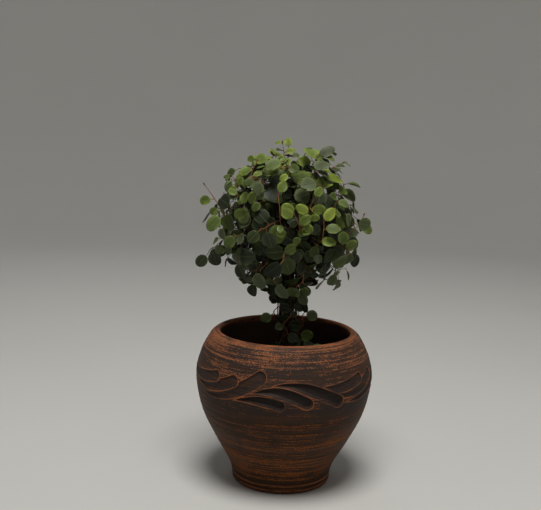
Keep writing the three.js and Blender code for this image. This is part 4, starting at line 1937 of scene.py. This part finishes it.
@dataclass
class LeafModel:
    """The leaf blade that is modelled once: 7 by 4 faces above and as many below, meeting in the rim."""

    rows: int = 7
    columns: int = 4
    body: float = 0.5
    egg: float = 0.07
    usual: float = 16
    cup: Pair = (0.0, 2.6)
    fold: Pair = (-0.2, 2.2)
    wave: Pair = (0.2, 0.9)
    waves: float = 5.5
    piece: Piece = field(init=False)
    shape: Vec = field(init=False)

    def build(self) -> None:
        """Shapes a grid into an oval and gives it a body that thins out to the rim."""
        bpy.ops.object.select_all(action="DESELECT")
        bpy.ops.mesh.primitive_grid_add(x_subdivisions=self.rows, y_subdivisions=self.columns, size=2)
        blade = bpy.context.object
        grid = points_of(blade) * MM
        angle = (grid[:, 0] + 1) * np.pi / 2
        outline = np.sin(angle) * (1 + self.egg * np.cos(angle))
        inner = np.flatnonzero((np.abs(grid[:, 1]) < 0.99) & (np.abs(grid[:, 0]) < 0.99))
        flat = np.column_stack([(1 - np.cos(angle)) / 2, grid[:, 1] * outline, np.zeros(len(grid))])
        move_points(blade, flat / MM)
        group = blade.vertex_groups.new(name="body")
        group.add([int(i) for i in inner], 1.0, "REPLACE")
        solidify = blade.modifiers.new("body", "SOLIDIFY")
        solidify.thickness = self.body
        solidify.offset = 0
        solidify.use_rim = False
        solidify.vertex_group = "body"
        activate(blade)
        bpy.ops.object.modifier_apply(modifier="body")
        with editing(blade):
            bpy.ops.mesh.remove_doubles(threshold=1e-4)
            bpy.ops.mesh.normals_make_consistent(inside=False)
        blade.vertex_groups.clear()
        smooth(blade, 60)
        self.piece = blade
        self.shape = points_of(blade) * MM

    def copy(self, leaf: Leaf, draws: Draws, shade: float, youth: float) -> Piece:
        """One leaf's blade, copied and bent to its place.

        Args:
            leaf: where the leaf grew.
            draws: random numbers for its cup and its waves.
            shade: 0 for the darkest green and 1 for the lightest, random tone with painted shade and
                light in it.
            youth: 0 for grey green and 1 for yellow green.

        Returns:
            The blade, its colour in the tone layer.
        """
        blade = copy_of(self.piece)
        x, y, z = self.shape.T
        cup = lerp(self.cup, draws.next() ** 1.5) * leaf.width / self.usual
        phase, wave = TURN * draws.next(), lerp(self.wave, draws.next()) * leaf.length / self.usual
        fold = lerp(self.fold, draws.next() ** 2) * leaf.width / self.usual
        reach = x * leaf.length
        rise = z + cup * y**2 + fold * np.abs(y) * np.sin(np.pi * x) - leaf.arch * reach**2 / leaf.length
        rise += wave * np.abs(y) * np.sin(phase + self.waves * x) * x
        points = leaf.neck + np.outer(reach, leaf.pointing) + np.outer(y * leaf.width / 2, leaf.side)
        points += np.outer(rise, leaf.facing)
        move_points(blade, points)
        paint(blade, "tone", np.column_stack([np.full(len(x), shade), np.full(len(x), youth), z < -1e-4]))
        return blade


@dataclass(frozen=True)
class LitAndFreshPatch:
    """A patch of painted light on the leaves, in millimetres: ripe leaves that stand in the light, and
    new growth where its youth is above 0.
    """

    place: Point
    radius: float
    youth: float
    fade: Pair = (0.7, 1.15)

    def share(self, point: Vec) -> float:
        """1 well within the patch, 0 outside it."""
        away = length(point - vec(*self.place)) / self.radius
        return float(1 - smoothstep(*self.fade, away))


# Patches of painted light on the leaves; where youth is above 0 they are also new growth.
LIT_AND_FRESH_PATCHES = tuple(
    LitAndFreshPatch((x, y, z), radius, youth)
    for x, y, z, radius, youth in (
        (-30, -12, 325, 14, 1), (-50, -12, 311, 13, 1), (-8, -10, 331, 13, 1), (4, -62, 275, 11, 1),
        (18, -61, 278, 13, 1), (14, -63, 250, 9, 1), (-6, -64, 249, 8, 1), (33, -55, 248, 9, 1),
        (31, -57, 271, 9, 1), (38, -28, 306, 12, 1), (57, -24, 281, 9, 1), (47, -30, 229, 8, 1),
        (-83, -8, 281, 9, 1), (-9, -48, 306, 7, 1), (-38, -54, 272, 8, 1), (30, -20, 203, 8, 1),
        (19, -17, 150, 11, 0.5), (25, -23, 142, 10, 0.2), (-6, -18, 157, 6, 0.2), (24, -10, 168, 8, 0),
        (-18, -13, 164, 8, 0), (2, -19, 146, 7, 0), (-24, -32, 204, 9, 0), (-60, -14, 227, 10, 0),
        (14, -20, 188, 7, 0), (42, -16, 203, 10, 0), (-52, -26, 290, 12, 0), (14, -44, 300, 10, 0),
        (-42, -42, 268, 9, 0), (48, -24, 296, 9, 0),
    )
)


@dataclass
class Trunk:
    """The bundle of wiry trunk stems."""

    growth: Growth
    roundness: int = 3
    steps: int = 5
    foot_girth: float = 1.08
    thin_out: float = 0.5
    foot_age: float = 1.05
    tip_age: float = 0.85
    node_swell: float = 1.16
    smooth_below: float = 60
    unevenness: Pair = (0.94, 1.06)

    def build(self) -> list[Piece]:
        """One piece for each trunk stem: smooth through its nodes, thicker at them, thin at its end."""
        return [self.stem_piece(stem) for stem in self.growth.trunk_stems]

    def stem_piece(self, stem: Stem) -> Piece:
        """One trunk stem as a round wire.

        Args:
            stem: the stem as it grew.

        Returns:
            The piece.
        """
        count = (len(stem.points) - 1) * self.steps
        path = spline(stem.points, count)
        path[:: self.steps] = np.array(stem.points)
        part = np.linspace(0, 1, count + 1)
        radii = stem.girth * (self.foot_girth - self.thin_out * part**2)
        radii[:: self.steps] *= self.node_swell
        draws = Draws(SEEDS.bark + int(stem.name.rsplit("_", 1)[1]))
        radii *= [lerp(self.unevenness, draws.next()) for _ in range(count + 1)]
        age = np.clip(lerp((self.foot_age, self.tip_age), part), 0, 1)
        return wires(f"{stem.name}_bark", [Wire(path, radii, age)], self.roundness)

    def dress(self, pieces: list[Piece], finishes: Finishes) -> None:
        """Gives each stem its bark and its place in the frame.

        Args:
            pieces: the stems' pieces in order.
            finishes: the finishes.
        """
        for piece, stem in zip(pieces, self.growth.trunk_stems):
            smooth(piece, self.smooth_below)
            piece.data.materials.append(finishes.bark)
            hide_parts(stem.name)
            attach(piece, "root")


@dataclass
class Foliage:
    """The leafy stems and the finer twigs."""

    growth: Growth
    finishes: Finishes
    model: LeafModel = field(default_factory=LeafModel)
    steps: int = 4
    roundness: int = 1
    # Heights over which the leaves' painted shade lifts; below the next, growth round the trunk stays
    # shaded and less young.
    shaded: Pair = (196, 270)
    old_and_shaded_below: float = 190
    foot_girth: float = 0.86
    thin_out: float = 0.38
    foot_age: float = 1.1
    tip_less: float = 0.5
    skin_less: float = 0.45
    skin: Pair = (0.5, 1.1)
    node_swell: float = 1.25
    tint: Pair = (-0.3, 0.55)
    tip: Pair = (0.35, 0.7)
    tip_youth: float = 0.9
    contrast: float = 1.4
    young_shoot: float = 0.6
    young_leaf: float = 0.35
    stray_youth: float = 0.24
    # Painted light and shade: the lit share at the lowest, the least shade and light within the patches,
    # and the light of lucky outer leaves.
    dimmest: float = 0.15
    painted_patch_light: Pair = (0.6, 0.8)
    outer_light: float = 0.75
    dim_youth: float = 0.4
    # Distances from the ball's middle, in shares of its radius, over which the painted shade within the
    # ball lifts and outer leaves may take painted light.
    shell: Pair = (0.7, 1.1)
    smooth_below: float = 70
    bud_length: float = 2.6
    bud_girths: tuple[float, ...] = (0.2, 0.55, 0.8, 0.72, 0.42, 0.08)
    stalk_girth: Pair = (0.34, 0.24)

    def shoot_piece(self, shoot: Stem, seed: int) -> Piece:
        """One shoot with its leaves.

        Args:
            shoot: the shoot as it grew.
            seed: seed of its colours.

        Returns:
            The piece, with bark and leaf finishes.
        """
        draws = Draws(seed)
        count = (len(shoot.points) - 1) * self.steps
        path = spline(shoot.points, count)
        part = np.linspace(0, 1, count + 1)
        radii = shoot.girth * (self.foot_girth - self.thin_out * part)
        radii[:: self.steps] *= self.node_swell
        away = np.sqrt(((path - self.growth.ball.middle) ** 2).sum(1)) / self.growth.ball.radius
        tint = lerp(self.tint, draws.next())
        age = self.foot_age - self.skin_less * smoothstep(*self.skin, away) - self.tip_less * part
        age = np.clip(age + tint, 0, 1)
        rows, blades = [], []
        if shoot.is_young or shoot.bare_tip:
            age *= 1 - self.tip_youth * smoothstep(*self.tip, part)
            rows.append(self.bud(path))
        rows.insert(0, Wire(path, radii, age))
        for leaf in shoot.leaves:
            rows.append(self.stalk(leaf, float(age[leaf.node * self.steps])))
            shade, youth = self.tone(shoot, leaf, draws)
            blades.append(self.model.copy(leaf, draws, shade, youth))
        stem = wires(shoot.name, rows, self.roundness)
        smooth(stem, self.smooth_below)
        stem.data.materials.append(self.finishes.bark)
        for blade in blades:
            blade.data.materials.append(self.finishes.leaf)
        return join(f"{shoot.name}_leaves", [stem, *blades])

    def tone(self, shoot: Stem, leaf: Leaf, draws: Draws) -> Pair:
        """How light and how young a leaf is: painted shade within the ball and low down, painted light on
        some outer leaves and in the patches, and new growth in the patches that carry youth.

        Args:
            shoot: the shoot that carries it.
            leaf: the leaf.
            draws: random numbers.

        Returns:
            Its shade and its youth, 0 to 1.
        """
        middle = leaf.neck + leaf.pointing * (leaf.length / 2)
        away = length(middle - self.growth.ball.middle) / self.growth.ball.radius
        outer, luck = float(smoothstep(*self.shell, away)), draws.next()
        # Random tone with painted shade: leaves within the ball are darker.
        shade = lerp((0.0, 0.15 + 0.9 * outer), luck) ** self.contrast
        least = self.young_shoot if shoot.is_young else self.young_leaf if leaf.young else 0.0
        painted_light_share = max(least, *(patch.share(middle) for patch in LIT_AND_FRESH_PATCHES))
        green = max(least, *(patch.share(middle) * patch.youth for patch in LIT_AND_FRESH_PATCHES))
        youth = max(green * lerp((0.35, 1.0), draws.next()), self.stray_youth * draws.next() ** 2)
        # Painted shade: leaves lower down are darker; round the trunk they are also less young and lose
        # the painted light of outer leaves.
        lit = lerp((self.dimmest, 1.0), float(smoothstep(*self.shaded, middle[2])))
        if middle[2] < self.old_and_shaded_below:
            youth, luck = youth * 0.5, 0.0
        # Painted light: leaves in the patches and lucky outer leaves are lighter.
        least_shade, least_lit = (share * painted_light_share for share in self.painted_patch_light)
        lit = max(lit, least_lit, self.outer_light * outer * luck)
        return max(shade, least_shade) * lit, youth * lerp((self.dim_youth, 1.0), lit)

    def bud(self, path: Vec) -> Wire:
        """The bud at a young shoot's tip, swollen and then drawn to a point.

        Args:
            path: the shoot's points.

        Returns:
            The wire.
        """
        run = along(path[-2], path[-1])
        count = len(self.bud_girths)
        places = path[-1] + np.outer(np.linspace(-0.8, self.bud_length, count), run)
        return Wire(places, np.array(self.bud_girths), np.full(count, 0.3))

    def stalk(self, leaf: Leaf, age: float) -> Wire:
        """A leaf's stalk, from within the stem to a little way into the blade.

        Args:
            leaf: the leaf.
            age: age of the stem where it sits.

        Returns:
            The wire.
        """
        knots = [leaf.root, leaf.neck - leaf.rise * 0.6, leaf.neck + leaf.pointing * 0.9]
        path = spline(knots, self.steps)
        radii = np.linspace(*self.stalk_girth, len(path))
        return Wire(path, radii, np.full(len(path), age * 0.7))

    def build(self) -> list[Piece]:
        """All shoots, then the finer growth, each kind joined as one piece.

        Returns:
            The pieces.
        """
        self.model.build()
        grown = self.growth
        shoots = [self.shoot_piece(one, SEEDS.shoot_tones + i) for i, one in enumerate(grown.shoots)]
        twigs = [self.shoot_piece(one, SEEDS.twig_tones + i) for i, one in enumerate(grown.twigs)]
        kinds: dict[str, list[Piece]] = {}
        for twig, piece in zip(grown.twigs, twigs):
            kinds.setdefault(twig.name.rsplit("_", 1)[0], []).append(piece)
        pieces = [*shoots, *(join(f"all_{kind}s", rows) for kind, rows in kinds.items())]
        bpy.data.objects.remove(self.model.piece)
        return pieces

    def dress(self, pieces: list[Piece]) -> None:
        """Gives each piece its place in the frame.

        Args:
            pieces: the pieces, the shoots' own ones first.
        """
        for piece, shoot in zip(pieces, self.growth.shoots):
            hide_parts(shoot.name)
        for piece in pieces:
            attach(piece, "root")


# Studio


@dataclass
class Studio:
    """Pale floor, soft lights and the camera at the picture's viewing angle, in metres and degrees."""

    floor_radius: float = 1.7
    sweep: tuple[Pair, ...] = (
        (1.95, 0.03), (2.2, 0.13), (2.4, 0.3), (2.55, 0.55), (2.62, 0.9), (2.65, 1.4), (2.65, 2.6),
    )
    lens: float = 58.03
    place: Point = (-0.0168, -0.850, 0.3571)
    pitch: float = 8.67
    roll: float = 1.67
    sensor: float = 36
    nearest: float = 0.05
    sky: Colour = (0.56, 0.56, 0.55, 1)
    sky_strength: float = 0.2

    def build(self) -> None:
        """Sets up everything that isn't part of the object."""
        self.floor()
        self.lights()
        self.camera()
        self.world()

    def floor(self) -> None:
        """A plain pale floor that sweeps up all round, far from the object."""
        bpy.ops.object.select_all(action="DESELECT")
        bpy.ops.mesh.primitive_circle_add(vertices=128, radius=self.floor_radius, fill_type="NGON")
        floor = bpy.context.object
        floor.name = "floor"
        with editing(floor, "EDGE"):
            radius, height = self.floor_radius, 0.0
            for next_radius, next_height in self.sweep:
                up = {"value": (0, 0, next_height - height)}
                bpy.ops.mesh.extrude_edges_move(TRANSFORM_OT_translate=up)
                grow = next_radius / radius
                bpy.ops.transform.resize(value=(grow, grow, 1), center_override=(0, 0, 0))
                radius, height = next_radius, next_height
        smooth(floor, 60)
        material, graph = new_material("pale_floor")
        tone = graph.noise(graph.place(), 3.0, 2.0)
        colour = graph.mix(tone, srgb(204, 203, 200), srgb(209, 208, 205))
        roughness = graph.ease(tone, 0.3, 0.7, 0.85, 0.95)
        graph.surface(colour, roughness, graph.bump(tone, 0.05), Specular_IOR_Level=0.2)
        floor.data.materials.append(material)

    def lights(self) -> None:
        """A large soft light above the front, a low fill and a faint light from behind."""
        for name, spot, aim, size, power, tint in (
            ("key", (0.0, -0.5, 1.8), (0, 0, 0.2), 0.8, 25.0, (1.0, 0.985, 0.95)),
            ("fill", (1.5, -1.2, 0.8), (0, 0, 0.15), 1.2, 1.6, (1.0, 0.94, 0.86)),
            ("back", (-0.4, 1.4, 1.5), (0, 0, 0.25), 1.0, 1.6, (0.95, 0.98, 1.0)),
        ):
            light = bpy.data.lights.new(name, "AREA")
            light.shape = "DISK"
            light.size = size
            light.energy = power
            light.color = tint
            lamp = linked(name, light)
            lamp.location = spot
            lamp.rotation_euler = (Vector(aim) - Vector(spot)).to_track_quat("-Z", "Y").to_euler()

    def camera(self) -> None:
        """The camera, turned a little about its own axis as in the picture."""
        data = bpy.data.cameras.new("camera")
        data.lens = self.lens
        data.sensor_width = self.sensor
        data.sensor_fit = "HORIZONTAL"
        data.clip_start = self.nearest
        camera = linked("camera", data)
        down, lean = math.radians(self.pitch), math.radians(self.roll)
        ahead = Vector((0, math.cos(down), -math.sin(down)))
        level, upright = Vector((1, 0, 0)), Vector((0, math.sin(down), math.cos(down)))
        right = level * math.cos(lean) + upright * math.sin(lean)
        top = upright * math.cos(lean) - level * math.sin(lean)
        turn = Matrix((right, top, -ahead)).transposed().to_4x4()
        camera.matrix_world = Matrix.Translation(self.place) @ turn
        bpy.context.scene.camera = camera

    def world(self) -> None:
        """Even soft light from all round."""
        world = bpy.data.worlds.new("studio")
        world.use_nodes = True
        bpy.context.scene.world = world
        background = world.node_tree.nodes["Background"]
        background.inputs["Color"].default_value = self.sky
        background.inputs["Strength"].default_value = self.sky_strength
        bpy.context.scene.view_settings.view_transform = "Standard"


def tell(name: str, pieces: list[Piece]) -> None:
    """Reports how many pieces and faces a part of the object has."""
    LOG.info("%s: %d pieces, %d faces", name, len(pieces), sum(len(one.data.polygons) for one in pieces))


def main() -> None:
    """Builds the studio, the pot, the soil, the trunk and the foliage, and reports each."""
    logging.basicConfig(level=logging.INFO, format="%(message)s")
    LOG.info("the frame holds %d solids", len(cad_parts))
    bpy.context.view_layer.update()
    Studio().build()
    finishes = Finishes()

    growth = Growth()
    growth.grow()
    growth.fill()
    grown = [*growth.shoots, *growth.twigs]
    LOG.info("grown: %d shoots with %d leaves", len(grown), sum(len(stem.leaves) for stem in grown))

    pot = Pot()
    pot_piece = pot.build()
    pot.dress(pot_piece, finishes)
    tell("pot", [pot_piece])

    soil = Soil()
    soil_piece = soil.build(pot)
    soil.dress(soil_piece, finishes)
    tell("soil", [soil_piece])

    trunk = Trunk(growth)
    stems = trunk.build()
    trunk.dress(stems, finishes)
    tell("trunk", stems)

    foliage = Foliage(growth, finishes)
    sprays = foliage.build()
    foliage.dress(sprays)
    tell("foliage", sprays)


if __name__ == "__main__":
    main()
